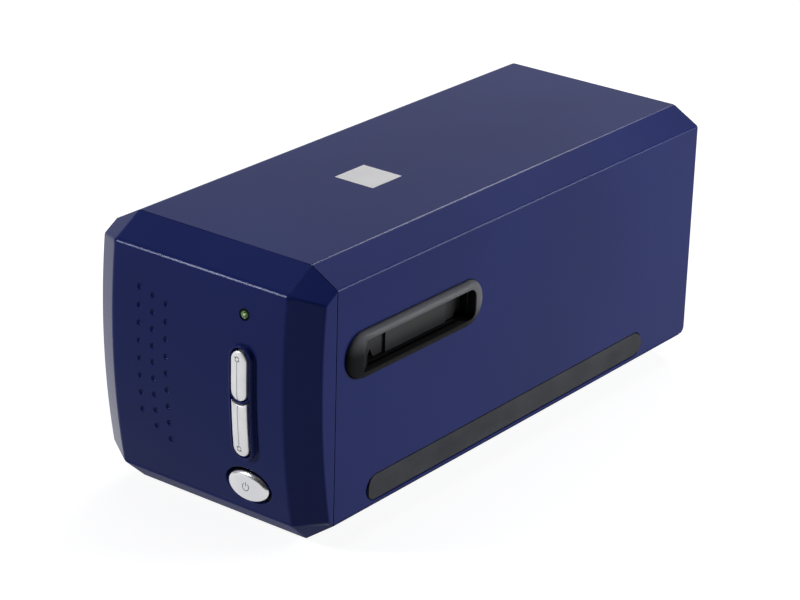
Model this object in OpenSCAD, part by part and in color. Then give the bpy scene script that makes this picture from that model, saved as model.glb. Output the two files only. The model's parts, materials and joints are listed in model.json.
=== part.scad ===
// Desktop scanner for 35 mm negatives and slides.
// A deep box with a film slot through it from side to side. Inside, a carriage with lamp, mirror, lens
// and line sensor slides under and over the film, driven by a motor, a gear pair and a lead screw.
// +X is right seen from the front, the front faces -Y and +Z is up.
// The origin is the middle of the footprint, at the soles of the feet.

/* [Body] */
// Width of the body without the slot rings
body_w = 113.7; // [112:0.1:117]
// Depth of the body behind the seam of the front
body_d = 252.6; // [248:0.2:262]
// Height of the body without the feet
body_h = 116.3; // [114:0.1:122]
// Wall of the moulded shells
wall = 2.5; // [2.2:0.1:2.8]
// Height of the rubber feet under the base
foot_h = 2.6; // [1.5:0.1:4]
// Width of the chamfers along the top
top_chamfer_w = 12.95; // [10:0.05:15]
// Height of the chamfers along the top
top_chamfer_h = 7.2; // [6:0.1:9]
// Width of the chamfers along the bottom
bottom_chamfer_w = 13.75; // [12:0.05:15]
// Height of the chamfers along the bottom
bottom_chamfer_h = 10; // [9.4:0.1:11]
// Parting gap between the shells
seam_gap = 0.3; // [0.1:0.05:0.5]

/* [Front] */
// How far the front stands out in front of its seam
front_bulge = 16.4; // [15.5:0.1:18]
// Radius of the crowned front
crown_r = 316; // [300:2:400]
// Height of the crown's foremost line above the base
crown_z = 71.7; // [68:0.1:76]
// Width of the bevels down both sides of the front
side_bevel_w = 12.85; // [11:0.05:14]
// Depth of the bevels down both sides of the front
side_bevel_d = 7.85; // [7:0.05:9]
// Slope of the band along the top of the front, in degrees
top_slope = 31; // [28:0.5:33]
// Slope of the band along the bottom of the front, in degrees
bottom_slope = 43; // [40:0.5:45]
// Diameter of the dimples in the front
dimple_d = 2.6; // [2:0.1:3]
// Depth of the dimples in the front
dimple_depth = 0.5; // [0.3:0.1:1]

/* [Buttons] */
// Distance of the buttons from the middle of the front
button_x = 24; // [23:0.1:26]
// Width of the two scan buttons
key_w = 7.8; // [7:0.1:9]
// Height of the upper end of the upper scan button above the base
keys_top_z = 81.2; // [80:0.1:85]
// Height of the lower end of the upper scan button above the base
keys_split_z = 60.2; // [58:0.1:62]
// Height of the lower end of the lower scan button above the base
keys_bottom_z = 36; // [35:0.1:38]
// Strip left between the two scan buttons
key_bridge = 1.7; // [1.5:0.1:2.2]
// How far the button boss stands out of the front
boss_h = 2; // [1.5:0.1:2.4]
// How far the buttons stand out of the boss
key_proud = 1; // [0.8:0.1:1.4]
// Travel of every button
key_travel = 0.8; // [0.5:0.1:0.9]
// Width of the oval power button
power_w = 20.7; // [19:0.1:21.2]
// Height of the oval power button
power_h = 12.6; // [12:0.1:13]
// Height of the power button's centre above the base
power_z = 21.8; // [21.4:0.1:23]
// Height of the status light above the base
light_z = 95.2; // [94:0.1:98]
// Diameter of the status light
light_d = 3.6; // [3:0.1:4]

/* [Film slot] */
// Width of the throat that the film holder passes
throat_w = 63.4; // [62:0.2:65]
// Height of the throat that the film holder passes
throat_h = 12.9; // [12:0.1:13.6]
// Distance of the throat's centre behind the seam of the front
slot_y = 52.3; // [51:0.1:54]
// Height of the throat's centre above the base
slot_z = 78.2; // [77:0.1:79]
// Length of the raised ring round the slot
ring_len = 86.9; // [86:0.1:88]
// Height of the raised ring round the slot
ring_h = 19.5; // [19:0.1:20.6]
// How far the raised ring stands out of the side
ring_proud = 3.15; // [2.5:0.05:3.5]
// Opening angle of the dust doors, in degrees
door_open = 82; // [70:1:84]

/* [Side strips] */
// Length of the rubber strips
strip_len = 195; // [190:0.2:200]
// Height of the rubber strips
strip_h = 10.6; // [9:0.1:11.4]
// How far the strips stand out of the sides
strip_proud = 0.8; // [0.5:0.1:1.2]
// Distance of the strips behind the seam of the front
strip_y = 20.8; // [18:0.2:24]
// Height of the strips' middle above the base
strip_z = 17.4; // [17:0.1:19]

/* [Label] */
// Width of the white label on the top
label_w = 19.9; // [15:0.1:30]
// Depth of the white label on the top
label_d = 19.1; // [15:0.1:30]
// Thickness of the white label
label_t = 0.2; // [0.1:0.05:0.3]
// Distance of the label behind the seam of the front
label_y = 80.1; // [60:0.1:120]

/* [Carriage and drive] */
// Travel of the scanning carriage
scan_travel = 36; // [30:1:36]
// Diameter of the guide rods
rod_d = 6; // [5:0.5:6]
// Distance of the guide rods from the middle
rod_x = 38; // [37.5:0.5:38.5]
// Height of the guide rods above the base
rod_z = 30; // [29:0.5:31]
// Height of the optical axis above the base
axis_z = 46; // [45:0.5:47]
// Diameter of the lens barrel
lens_d = 22; // [20:0.5:22]
// Diameter of the lead screw
screw_d = 5; // [4:0.5:6]
// Height of the lead screw above the base
screw_z = 52; // [50:0.5:53]
// Distance of the lead screw from the middle
screw_x = 41.5; // [41:0.1:41.5]
// Teeth of the gear on the lead screw
gear_teeth = 48; // [44:1:50]
// Teeth of the motor pinion
pinion_teeth = 16; // [14:1:18]
// Module of both gears
gear_module = 0.5; // [0.45:0.05:0.55]
// Diameter of the motor can
motor_d = 25; // [22:0.5:26]
// Length of the motor can
motor_len = 15.8; // [12:0.2:17]

/* [Electronics] */
// Width of the main board
board_w = 66; // [60:1:66]
// Depth of the main board
board_d = 58; // [50:1:60]
// Thickness of every circuit board
board_t = 1.6; // [1.2:0.2:1.6]

/* [Hidden] */
$fn = 48;
crown_fn = 360;
hull_fn = 32;
big = 400;
// Clearances
fit = 0.25; // loose parts in their cut-outs
seat = 0.1; // parts that rest on each other
run = 0.04; // shafts in their bearings, on the radius
overlap = 1; // how far cuts run past a face

// The body's places
seam_y = (front_bulge + boss_h + key_proud - body_d) / 2;
rear_y = seam_y + body_d;
base_z = foot_h;
side_x = body_w / 2;
split_z = bottom_chamfer_h; // parting height of cover and base, above the base
face_half_w = side_x - side_bevel_w;
bevel_angle = atan(side_bevel_d / side_bevel_w);

// Floors inside, above the base
boss_top_z = 8.5;
chassis_t = 1.2;
floor_z = boss_top_z + chassis_t;
inner_x = side_x - wall;

// Case screws: places from the middle, the front seam and the rear
screw_m3_r = 1.5;
case_screw_x = side_x - 19;
case_boss_r = 3.2;
case_boss_top = 40;
case_screw_y = [8, body_d - 19.4];
case_spots = [for (side = [-1, 1], y = case_screw_y) [side * case_screw_x, y]];

// Feet
foot_r = 6;
foot_sink = 1;
foot_x = 30;
foot_y = [22, body_d - 23.4];

// Keys
key_r = key_w / 2;
keys_x = button_x;
upper_lo = keys_split_z + key_r;
upper_hi = keys_top_z - key_r;
lower_lo = keys_bottom_z + key_r;
flange_grow = 1.5;
flange_t = 1.2;
key_gap = 0.35;
boss_margin = 1.3;
boss_draft = 0.8;
power_gap = 1.3;
power_proud = 1.9;
power_flange = 1.2;

// Switch board behind the front, measured from the seam
switch_board_y = -1;
switch_body_h = 3.4;
plunger_h = 1.1;
plunger_tip_y = switch_board_y - switch_body_h - plunger_h;
stem_end_y = plunger_tip_y - key_travel - seat;
upper_switch_z = (keys_top_z + keys_split_z) / 2;
lower_switch_z = (keys_split_z + keys_bottom_z) / 2 - 1.5;
switch_spots = [upper_switch_z, lower_switch_z, power_z];
board_x = [button_x - 14, button_x + 14.8];
board_z = [12.5, light_z + 4.5];
board_posts = [[button_x + 11.3, light_z - 4.3], [button_x - 10.7, upper_switch_z], [button_x + 11.3, lower_switch_z]];
post_r = 3;
small_screw_r = 1.2;
small_head_r = 2.2;
small_head_h = 1.8;

// Film slot
ring_y0 = slot_y - 46.9;
ring_y1 = ring_y0 + ring_len;
lip_y0 = slot_y - 39.1; // front end of the opening at the crest
lip_y1 = slot_y + 33; // rear end of the opening at the crest
throat_y0 = slot_y - throat_w / 2;
throat_y1 = slot_y + throat_w / 2;
throat_z0 = slot_z - throat_h / 2;
throat_z1 = slot_z + throat_h / 2;
slope_front = 7.4;
slope_rear = 6;
slope_side = 3.1;
plate_t = 1.2;
plate_x = inner_x - seat - plate_t; // inner face of the ring's plate
plate_grow = 2.4;
bezel_lip_d = 4; // how far the front's lip stands into the cover

// Dust doors
flap_t = 1.3;
flap_pad = 1;
flap_x = plate_x - 0.2; // outer face of the flap
barrel_r = 1.2;
spring_wire_r = 0.2;
spring_r = 1.42;
hinge_x = plate_x - seat - spring_r - spring_wire_r;
hinge_z = throat_z1 + 2.2;
flap_over = 1.5; // how far the flap covers past the throat's ends
flap_y0 = throat_y0 - flap_over;
flap_y1 = throat_y1 + flap_over;
journal_r = 1.1;
ear_t = 2.4;
ear_gap = 0.3;
ear_r = 2.4;
spring_room = 4.4;
spring_turns = 4;
notch_w = 3.6;
notch_h = 3.8;
notch_y = 28; // distance of the notches from the door's middle
pad_half = 19.5;
door_y = slot_y + 1; // middle of the door's pad and notches

// Film track between the doors
deck_t = 3;
track_wall_t = 3.2;
channel_half = side_x - 21; // half length of the channel's walls
deck_half = side_x - 6.3;
deck_z1 = throat_z0 - 0.1;
deck_z0 = deck_z1 - deck_t;
track_y0 = throat_y0 - track_wall_t - 0.4;
track_y1 = throat_y1 + track_wall_t + 0.4;
window_w = 40;
leg_w = 6;
leg_x = side_x - 8; // outer face of the track's legs
ceiling_z0 = throat_z1 + 0.2;
ceiling_t = 2;
ceiling_z1 = ceiling_z0 + ceiling_t;

// Carriage at its home place, measured from the seam and above the base
scan_y = slot_y - scan_travel / 2;
tray_w = 60;
tray_t = 2.5;
tray_y0 = scan_y - 14;
tray_len = 134.5;
tray_y1 = tray_y0 + tray_len;
tray_z0 = axis_z - 16;
tray_z1 = axis_z + 16;
lid_t = 2;
lid_z1 = tray_z1 + lid_t;
bush_r = 5;
bush_len = 10;
eye_half = 6;
eye_len = 14;
eye_y = [tray_y0 + 7.5, tray_y0 + 107.5];
fork_y = tray_y0 + 60;
fork_len = 10;
mirror_w = 44;
mirror_len = 26;
mirror_t = 2;
lens_y = tray_y0 + 76;
lens_len = 22;
glass_r = lens_d / 2 - 3;
nut_y = tray_y0 + 79.5;
nut_len = 12;
nut_half = 7;
sensor_y = tray_y1 + seat;
arm_y0 = track_y1 + 2;
arm_len = 8;
arm_w = 6;
arm_z1 = ceiling_z1 + 10;
jaw_t = 2;
jaw_y0 = scan_y - 10;
lamp_z = ceiling_z1 + 1;
diffuser_t = 2;
diffuser_w = 10;

// Drive: places from the seam and above the base
rear_bracket_y = body_d - 38.4;
front_bracket_y = 13.5;
bracket_t = 1.5;
pitch_gear = gear_module * gear_teeth / 2;
pitch_pinion = gear_module * pinion_teeth / 2;
mesh_distance = pitch_gear + pitch_pinion;
motor_x = -screw_x + mesh_distance;
gear_y = rear_bracket_y + bracket_t + 2.5;
gear_face = 4;
pinion_face = 5;
screw_front_r = 1.5;
screw_rear_r = 2;
motor_shaft_r = 1;
motor_pilot_r = 4;
motor_ear = 16;
pressure_angle = 20;
backlash = 0.06;

// Main board, measured from the seam and above the base
main_y1 = body_d - 6.4;
main_y0 = main_y1 - board_d;
main_z = 14;
panel_y0 = body_d - 4.5;
panel_t = 2.5;
usb_x = -14;
usb_w = 12;
usb_h = 10.8;
usb_len = 16.4;
jack_x = 10;
jack_w = 9;
jack_h = 10.8;
jack_len = 14;
lock_x = 34;
lock_z = 60;

// Colours
paint_blue = "#2c3062";
base_grey = "#3a3c44";
rubber_grey = "#3e4046";
ring_grey = "#4a4c50";
key_silver = "#d8d8dc";
steel = "#b8bbc0";
board_green = "#1f6a3c";
moulded_black = "#1b1c1f";

// ---------------------------------------------------------------------------------------------------
// Helpers. Inside body_frame(), y is measured from the seam and z from the underside of the base.

module body_frame() {
    translate([0, seam_y, base_z]) children();
}

// A drawing in X and Z, extruded from y0 to y1
module along_y(y0, y1) {
    translate([0, y1, 0]) rotate([90, 0, 0]) linear_extrude(y1 - y0) children();
}

// A drawing in Y and Z, extruded from x0 to x1
module along_x(x0, x1) {
    translate([x0, 0, 0]) rotate([90, 0, 90]) linear_extrude(x1 - x0) children();
}

// A round bar along Y
module bar_y(r, y0, y1) {
    translate([0, y0, 0]) rotate([-90, 0, 0]) cylinder(r = r, h = y1 - y0);
}

// A box given by its lowest and highest corners
module block(low, high) {
    translate(low) cube(high - low);
}

// Moves what is drawn on the right side to the side wanted
module to_side(side) {
    mirror([side < 0 ? 1 : 0, 0, 0]) children();
}

// The body's section in X and Z, its outline moved inwards by inset
function chamfer_x(w, h, inset) = side_x - w - inset * (norm([w, h]) - w) / h;
function chamfer_z(w, h, inset) = h + inset * (norm([w, h]) - h) / w;
function section(inset) = let(
        xt = chamfer_x(top_chamfer_w, top_chamfer_h, inset),
        zt = body_h - chamfer_z(top_chamfer_w, top_chamfer_h, inset),
        xb = chamfer_x(bottom_chamfer_w, bottom_chamfer_h, inset),
        zb = chamfer_z(bottom_chamfer_w, bottom_chamfer_h, inset),
        xs = side_x - inset
    ) [[xb, inset], [xs, zb], [xs, zt], [xt, body_h - inset],
       [-xt, body_h - inset], [-xs, zt], [-xs, zb], [-xb, inset]];

module shell_ring(outer, inner, y0, y1) {
    difference() {
        along_y(y0, y1) polygon(section(outer));
        along_y(y0 - overlap, y1 + overlap) polygon(section(inner));
    }
}

// ---------------------------------------------------------------------------------------------------
// Front: a crowned face between straight bevels, cut off by slopes above and below and by four facets

// Depth of the crowned face at height z
function crown_y(z) = -front_bulge + pow(z - crown_z, 2) / (2 * crown_r);
// Depth where the crowned face meets a slope that starts dz from the crown's middle with gradient t
function slope_meets(dz, t) = let(
        a = t * t / (2 * crown_r),
        b = t * dz / crown_r - 1,
        c = dz * dz / (2 * crown_r) - front_bulge
    ) (-b - sqrt(b * b - 4 * a * c)) / (2 * a);

module crown_drum(grow) {
    translate([-big / 2, crown_r - front_bulge, crown_z])
        rotate([0, 90, 0]) cylinder(r = crown_r + grow, h = big, $fn = crown_fn);
}

module bevel_drum(inset) {
    drum_r = crown_r / cos(bevel_angle);
    translate([face_half_w - drum_r * sin(bevel_angle), drum_r * cos(bevel_angle) - front_bulge, crown_z])
        rotate([0, 90, bevel_angle])
            cylinder(r = drum_r - inset, h = big, center = true, $fn = crown_fn);
}

// Cuts away everything beyond the plane through p with the outward normal n
module cut_beyond(p, n) {
    translate(p)
        rotate([0, acos(n.z / norm(n)), atan2(n.y, n.x)])
            translate([-big / 2, -big / 2, 0]) cube(big);
}

// The facet at a front corner: along the section's chamfer, towards the corner of the crowned face
module corner_cut(inset, a, s, f) {
    n = cross(f - a, s - a);
    out = n * (n.x > 0 ? 1 : -1) / norm(n);
    cut_beyond(a - inset * out, out);
}

module front_form(inset, back_y) {
    reach = front_bulge + 8;
    tt = tan(top_slope);
    tb = tan(bottom_slope);
    top_y = slope_meets(body_h - crown_z, tt);
    bottom_y = slope_meets(-crown_z, -tb);
    slopes = [
        [back_y + overlap, body_h + (back_y + overlap) * tt - inset / cos(top_slope)],
        [-reach, body_h - reach * tt - inset / cos(top_slope)],
        [-reach, reach * tb + inset / cos(bottom_slope)],
        [back_y + overlap, -(back_y + overlap) * tb + inset / cos(bottom_slope)]
    ];
    difference() {
        intersection() {
            along_y(-reach, back_y) polygon(section(inset));
            along_x(-body_w, body_w) polygon(slopes);
            crown_drum(-inset);
            bevel_drum(inset);
            mirror([1, 0, 0]) bevel_drum(inset);
        }
        for (side = [-1, 1]) to_side(side) {
            corner_cut(inset, [side_x - top_chamfer_w, 0, body_h],
                [side_x, 0, body_h - top_chamfer_h], [face_half_w, top_y, body_h + top_y * tt]);
            corner_cut(inset, [side_x - bottom_chamfer_w, 0, 0],
                [side_x, 0, bottom_chamfer_h], [face_half_w, bottom_y, -bottom_y * tb]);
        }
    }
}

// Outlines of the keys in X and Z, grown by a margin
module upper_key_2d(grow) {
    for (z = [upper_lo, upper_hi]) translate([keys_x, z]) circle(r = key_r + grow);
    translate([keys_x - key_r - grow, upper_lo]) square([key_w + 2 * grow, upper_hi - upper_lo]);
}

module lower_key_2d(grow) {
    difference() {
        union() {
            translate([keys_x, lower_lo]) circle(r = key_r + grow);
            translate([keys_x - key_r - grow, lower_lo]) square([key_w + 2 * grow, upper_lo - lower_lo]);
        }
        translate([keys_x, upper_lo]) circle(r = key_r + key_bridge - grow);
    }
}

// The flange of the lower key stops short of the upper one's
module lower_flange_2d() {
    difference() {
        union() {
            translate([keys_x, lower_lo]) circle(r = key_r + flange_grow);
            translate([keys_x - key_r - flange_grow, lower_lo])
                square([key_w + 2 * flange_grow, upper_lo - lower_lo]);
        }
        translate([keys_x, upper_lo]) circle(r = key_r + key_bridge + 0.5);
    }
}

module oval_2d(w, h) {
    scale([w / h, 1]) circle(d = h, $fn = 96);
}

module power_2d(grow) {
    translate([button_x, power_z]) oval_2d(power_w + 2 * grow, power_h + 2 * grow);
}

// The drafted boss that holds both scan buttons: two cones and a wedge between them
module key_boss() {
    lo = lower_lo;
    hi = upper_hi;
    r_top = key_r + boss_margin;
    r_root = r_top + boss_draft;
    y_top = -front_bulge - boss_h;
    y_root = -front_bulge + wall;
    depth = y_root - y_top;
    r_deep = r_top + (r_root - r_top) * depth / boss_h;
    difference() {
        intersection() {
            union() {
                for (z = [lo, hi])
                    translate([keys_x, y_top, z]) rotate([-90, 0, 0]) cylinder(r1 = r_top, r2 = r_deep, h = depth);
                translate([keys_x, 0, lo]) linear_extrude(hi - lo)
                    polygon([[-r_top, y_top], [r_top, y_top], [r_deep, y_root], [-r_deep, y_root]]);
            }
            crown_drum(boss_h);
        }
        crown_drum(-wall / 2);
    }
}

dimple_rows = [8, 9, 9];
dimple_x = [-29.6, -22.5, -15.5];
dimple_top = [92.2, 90.4, 88.6];
dimple_pitch = [7.62, 7.12, 7.37];

module dimples() {
    for (c = [0 : 2], r = [0 : dimple_rows[c] - 1]) {
        z = dimple_top[c] - r * dimple_pitch[c];
        translate([dimple_x[c], crown_y(z) - overlap, z])
            rotate([-90, 0, 0]) cylinder(d = dimple_d, h = dimple_depth + overlap);
    }
}

module front_bezel() {
    lip_in = wall + 1.7;
    lip_d = bezel_lip_d;
    color(paint_blue) body_frame() difference() {
        union() {
            difference() {
                front_form(0, -seam_gap / 2);
                front_form(wall, overlap);
            }
            shell_ring(wall - 0.2, lip_in, -lip_d, -seam_gap / 2);
            shell_ring(wall + 0.2, lip_in, -seam_gap / 2 - 0.1, lip_d);
            key_boss();
            // Posts for the switch board, and the collar of the light pipe
            for (p = board_posts)
                translate([p.x, 0, p.y]) bar_y(post_r, crown_y(p.y) + wall / 2, switch_board_y);
            translate([button_x, 0, light_z]) bar_y(light_d, crown_y(light_z) + wall / 2, -9);
        }
        along_y(-front_bulge - 6, 0) {
            upper_key_2d(key_gap);
            lower_key_2d(key_gap);
            power_2d(power_gap);
        }
        dimples();
        translate([button_x, 0, light_z]) {
            bar_y(light_d / 2 + run, -front_bulge - 1, 0);
            bar_y(light_d / 2 + 0.7, -front_bulge - 1, crown_y(light_z) + 0.9);
        }
        for (p = board_posts)
            translate([p.x, 0, p.y]) bar_y(small_screw_r + run, crown_y(p.y) + wall + 2, switch_board_y + 1);
    }
}

// ---------------------------------------------------------------------------------------------------
// Cover, base and back

module strip_2d(grow) {
    r = strip_h / 2;
    for (y = [strip_y + r, strip_y + strip_len - r]) translate([y, strip_z]) circle(r = r + grow);
    translate([strip_y + r, strip_z - r - grow]) square([strip_len - 2 * r, strip_h + 2 * grow]);
}

strip_sink = 1.4;
strip_gap = 0.55;
strip_drop = 0.9; // how much lower the strip's pillowed face is at its edges
strip_pegs = 5;
corner_r = 3.2;
peg_r = 1.2;
function peg_y(i) = strip_y + strip_len * (i + 0.5) / strip_pegs;

module side_strip(side) {
    color(rubber_grey) body_frame() to_side(side) {
        face_r = (pow(strip_h / 2, 2) + strip_drop * strip_drop) / (2 * strip_drop);
        intersection() {
            along_x(side_x - strip_sink + 0.05, side_x + strip_proud + 1) strip_2d(0);
            translate([side_x + strip_proud - face_r, 0, strip_z]) bar_y(face_r, 0, body_d);
        }
        for (i = [0 : strip_pegs - 1])
            translate([inner_x - 0.8, peg_y(i), strip_z])
                rotate([0, 90, 0]) cylinder(r = peg_r, h = wall + 0.8 - strip_sink / 2);
    }
}

module ring_2d(grow) {
    r = ring_h / 2;
    for (y = [ring_y0 + r, ring_y1 - r]) translate([y, slot_z]) circle(r = r + grow);
    translate([ring_y0 + r, slot_z - r - grow]) square([ring_len - 2 * r, ring_h + 2 * grow]);
}

// What is cut from a side's rear lower corner
module rear_corner() {
    along_x(inner_x, side_x + 1) difference() {
        translate([body_d - corner_r, split_z - corner_r / 2]) square([corner_r + 1, 1.5 * corner_r]);
        translate([body_d - corner_r, split_z + corner_r]) circle(r = corner_r);
    }
}

module main_cover() {
    boss_z0 = floor_z + seat;
    rib_z0 = split_z + 6.3;
    color(paint_blue) body_frame() difference() {
        union() {
            intersection() {
                shell_ring(0, wall, seam_gap / 2, body_d);
                block([-body_w, 0, split_z + seam_gap / 2], [body_w, body_d + 1, body_h + 1]);
            }
            // Screw bosses, each with a rib to the side wall
            for (p = case_spots) {
                translate([p.x, p.y, boss_z0]) cylinder(r = case_boss_r, h = case_boss_top - boss_z0);
                to_side(sign(p.x)) block([case_screw_x + case_boss_r - 0.6, p.y - 1, rib_z0],
                    [inner_x + 0.2, p.y + 1, case_boss_top]);
            }
            // Stiffening ribs under the top
            for (y = [body_d * 0.42, body_d * 0.6, body_d * 0.78])
                block([-face_half_w, y - 0.75, body_h - wall - 5], [face_half_w, y + 0.75, body_h - wall + 0.2]);
        }
        for (p = case_spots)
            translate([p.x, p.y, boss_z0 - 1]) cylinder(r = screw_m3_r + run, h = 24);
        for (side = [-1, 1]) to_side(side) {
            along_x(inner_x - 1, side_x + 1) ring_2d(fit);
            rear_corner();
            // Step for the lip of the base
            block([inner_x - 3, 12, split_z - 1], [inner_x, body_d - 12, split_z + 1.6]);
            along_x(side_x - strip_sink, side_x + 1) strip_2d(strip_gap);
            for (i = [0 : strip_pegs - 1])
                translate([inner_x - 1, peg_y(i), strip_z]) rotate([0, 90, 0]) cylinder(r = peg_r + 0.1, h = wall + 1);
        }
        block([-label_w / 2 - seat, label_y - seat, body_h - label_t],
            [label_w / 2 + seat, label_y + label_d + seat, body_h + 1]);
    }
}

module base_pan() {
    lip_t = 1.5;
    lip_x = inner_x - 0.2;
    lip_h = 5;
    color(base_grey) body_frame() difference() {
        union() {
            intersection() {
                shell_ring(0, wall, seam_gap / 2, body_d);
                block([-body_w, 0, -1], [body_w, body_d + 1, split_z - seam_gap / 2]);
            }
            // Lips that stand inside the cover's walls, between its bosses
            for (side = [-1, 1]) to_side(side)
                for (span = [[14, body_d / 2 - 8], [body_d / 2 + 8, body_d - 14]])
                    along_y(span[0], span[1])
                        polygon([[lip_x - lip_t, split_z - 2.6], [lip_x - 0.4, split_z - 2.6],
                            [lip_x, split_z - seam_gap / 2 - 1], [lip_x, split_z + lip_h],
                            [lip_x - lip_t, split_z + lip_h]]);
            for (p = case_spots) translate([p.x, p.y, wall / 2]) cylinder(r = 4, h = boss_top_z - wall / 2);
        }
        for (side = [-1, 1]) to_side(side) rear_corner();
        for (p = case_spots) translate([p.x, p.y, -1]) {
            cylinder(r = screw_m3_r + 0.15, h = 20);
            cylinder(r = 3.2, h = 6);
        }
        for (x = [-foot_x, foot_x], y = foot_y)
            translate([x, y, -1]) cylinder(r = foot_r + 0.2, h = foot_sink + 1);
    }
}

module rear_panel() {
    rim = wall + 0.2;
    color(base_grey) body_frame() difference() {
        union() {
            along_y(panel_y0, panel_y0 + panel_t) polygon(section(rim));
            shell_ring(rim, rim + 1.8, panel_y0 - 4, panel_y0 + 0.1);
        }
        // Openings of the two sockets and the lock slot
        block([usb_x - usb_w / 2 - fit, panel_y0 - 1, main_z + board_t - fit],
            [usb_x + usb_w / 2 + fit, body_d, main_z + board_t + usb_h + fit]);
        block([jack_x - jack_w / 2 - fit, panel_y0 - 1, main_z + board_t - fit],
            [jack_x + jack_w / 2 + fit, body_d, main_z + board_t + jack_h + fit]);
        block([lock_x - 3.5, panel_y0 - 1, lock_z - 1.5], [lock_x + 3.5, body_d, lock_z + 1.5]);
    }
}

module top_label() {
    color("white") body_frame()
        block([-label_w / 2, label_y, body_h - label_t + 0.01], [label_w / 2, label_y + label_d, body_h]);
}

module foot(x, y) {
    color(rubber_grey) body_frame() translate([x, y, -foot_h]) {
        cylinder(r1 = foot_r - 0.4, r2 = foot_r, h = 0.5);
        translate([0, 0, 0.5]) cylinder(r = foot_r, h = foot_h + foot_sink - 0.5 - 0.02);
    }
}

module foot_front_left() { foot(-foot_x, foot_y[0]); }
module foot_front_right() { foot(foot_x, foot_y[0]); }
module foot_rear_left() { foot(-foot_x, foot_y[1]); }
module foot_rear_right() { foot(foot_x, foot_y[1]); }
module side_strip_right() { side_strip(1); }
module side_strip_left() { side_strip(-1); }

module case_screws() {
    color(steel) body_frame() for (p = case_spots) translate([p.x, p.y, 5 - 2.2]) difference() {
        union() {
            cylinder(r = 2.8, h = 2.18);
            cylinder(r = screw_m3_r, h = 26);
        }
        for (a = [0, 90]) rotate(a) translate([-1.5, -0.35, -1]) cube([3, 0.7, 2]);
    }
}

// ---------------------------------------------------------------------------------------------------
// Slot rings and dust doors

// One level of the ring's rounded slope; a runs from 0 at the foot to 90 degrees at the crest
module ring_level(a) {
    in = 1 - cos(a);
    r = ring_h / 2 - slope_side * in;
    for (y = [ring_y0 + slope_front * in + r, ring_y1 - slope_rear * in - r])
        translate([side_x + (ring_proud - 0.05) * sin(a), y, slot_z])
            rotate([0, 90, 0]) cylinder(r = r, h = 0.05, $fn = hull_fn);
}

module slot_bezel(side) {
    lip_r = (pow(throat_h / 2, 2) + 3.4 * 3.4) / (2 * 3.4);
    color(ring_grey) body_frame() to_side(side) difference() {
        union() {
            hull() for (a = [0 : 18 : 90]) ring_level(a);
            along_x(inner_x - seat - 0.1, side_x + 0.02) ring_2d(0);
            along_x(plate_x, inner_x - seat) intersection() {
                ring_2d(plate_grow);
                translate([bezel_lip_d + 0.4, throat_z0 - 3.2]) square([ring_len + 10, ring_h]);
            }
            // Ears that carry the door's journals
            for (y = [flap_y0 - ear_gap - ear_t, flap_y1 + spring_room + ear_gap])
                along_y(y, y + ear_t) {
                    translate([hinge_x, hinge_z]) circle(r = ear_r);
                    translate([hinge_x, hinge_z - ear_r]) square([plate_x - hinge_x + 0.2, 2 * ear_r]);
                }
        }
        // Throat, a lead-in at its front end and a rounded lip at its rear end
        along_x(plate_x - 1, side_x + ring_proud + 1)
            translate([throat_y0, throat_z0]) square([throat_w, throat_h]);
        translate([0, 0, throat_z0]) linear_extrude(throat_h)
            polygon([[side_x - wall, throat_y0 + 0.5], [side_x - wall, throat_y0], [side_x + ring_proud, lip_y0],
                [side_x + ring_proud + 1, lip_y0], [side_x + ring_proud + 1, throat_y0 + 0.5]]);
        along_x(side_x + ring_proud - 2, side_x + ring_proud + 1) intersection() {
            translate([lip_y1 - lip_r, slot_z]) circle(r = lip_r);
            translate([throat_y1 - 4, throat_z0]) square([10, throat_h]);
        }
        translate([hinge_x, 0, hinge_z]) bar_y(journal_r + run, flap_y0 - 10, flap_y1 + 15);
    }
}

module dust_door(side) {
    flap_z0 = throat_z0 + 0.35;
    color(moulded_black) body_frame() to_side(side) difference() {
        union() {
            block([flap_x - flap_t, flap_y0, flap_z0], [flap_x, flap_y1, hinge_z]);
            translate([hinge_x, 0, hinge_z]) bar_y(barrel_r, flap_y0, flap_y1);
            block([flap_x - 0.1, door_y - pad_half, flap_z0], [flap_x + flap_pad, door_y + pad_half, throat_z1 - 0.8]);
            translate([hinge_x, 0, hinge_z])
                bar_y(journal_r, flap_y0 - ear_gap - ear_t, flap_y1 + spring_room + ear_gap + ear_t);
        }
        // Small notches in the lower edge
        for (y = [door_y - notch_y, door_y + notch_y])
            along_x(flap_x - flap_t - 1, flap_x + 1)
                polygon([[y - notch_w / 2, flap_z0 - 1], [y + notch_w / 2, flap_z0 - 1],
                    [y + notch_w / 2, flap_z0 + 0.3], [y, flap_z0 + notch_h], [y - notch_w / 2, flap_z0 + 0.3]]);
    }
}

// A wire swept along its points
function ring_of(p, q, up, r, sides) = let(
        t = (q - p) / norm(q - p),
        u = cross(t, up) / norm(cross(t, up)),
        v = cross(t, u)
    ) [for (k = [0 : sides - 1]) p + r * (cos(360 * k / sides) * u + sin(360 * k / sides) * v)];

module swept_wire(points, up, r, sides) {
    last = len(points) - 1;
    rings = [for (i = [0 : last])
        ring_of(points[i], i < last ? points[i + 1] : 2 * points[i] - points[i - 1], up, r, sides)];
    verts = [for (ring = rings) each ring];
    skin = [for (i = [0 : last - 1], k = [0 : sides - 1]) let(n = (k + 1) % sides)
        [i * sides + k, i * sides + n, (i + 1) * sides + n, (i + 1) * sides + k]];
    polyhedron(verts, concat([[for (k = [sides - 1 : -1 : 0]) k]], skin,
        [[for (k = [0 : sides - 1]) last * sides + k]]));
}

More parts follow.
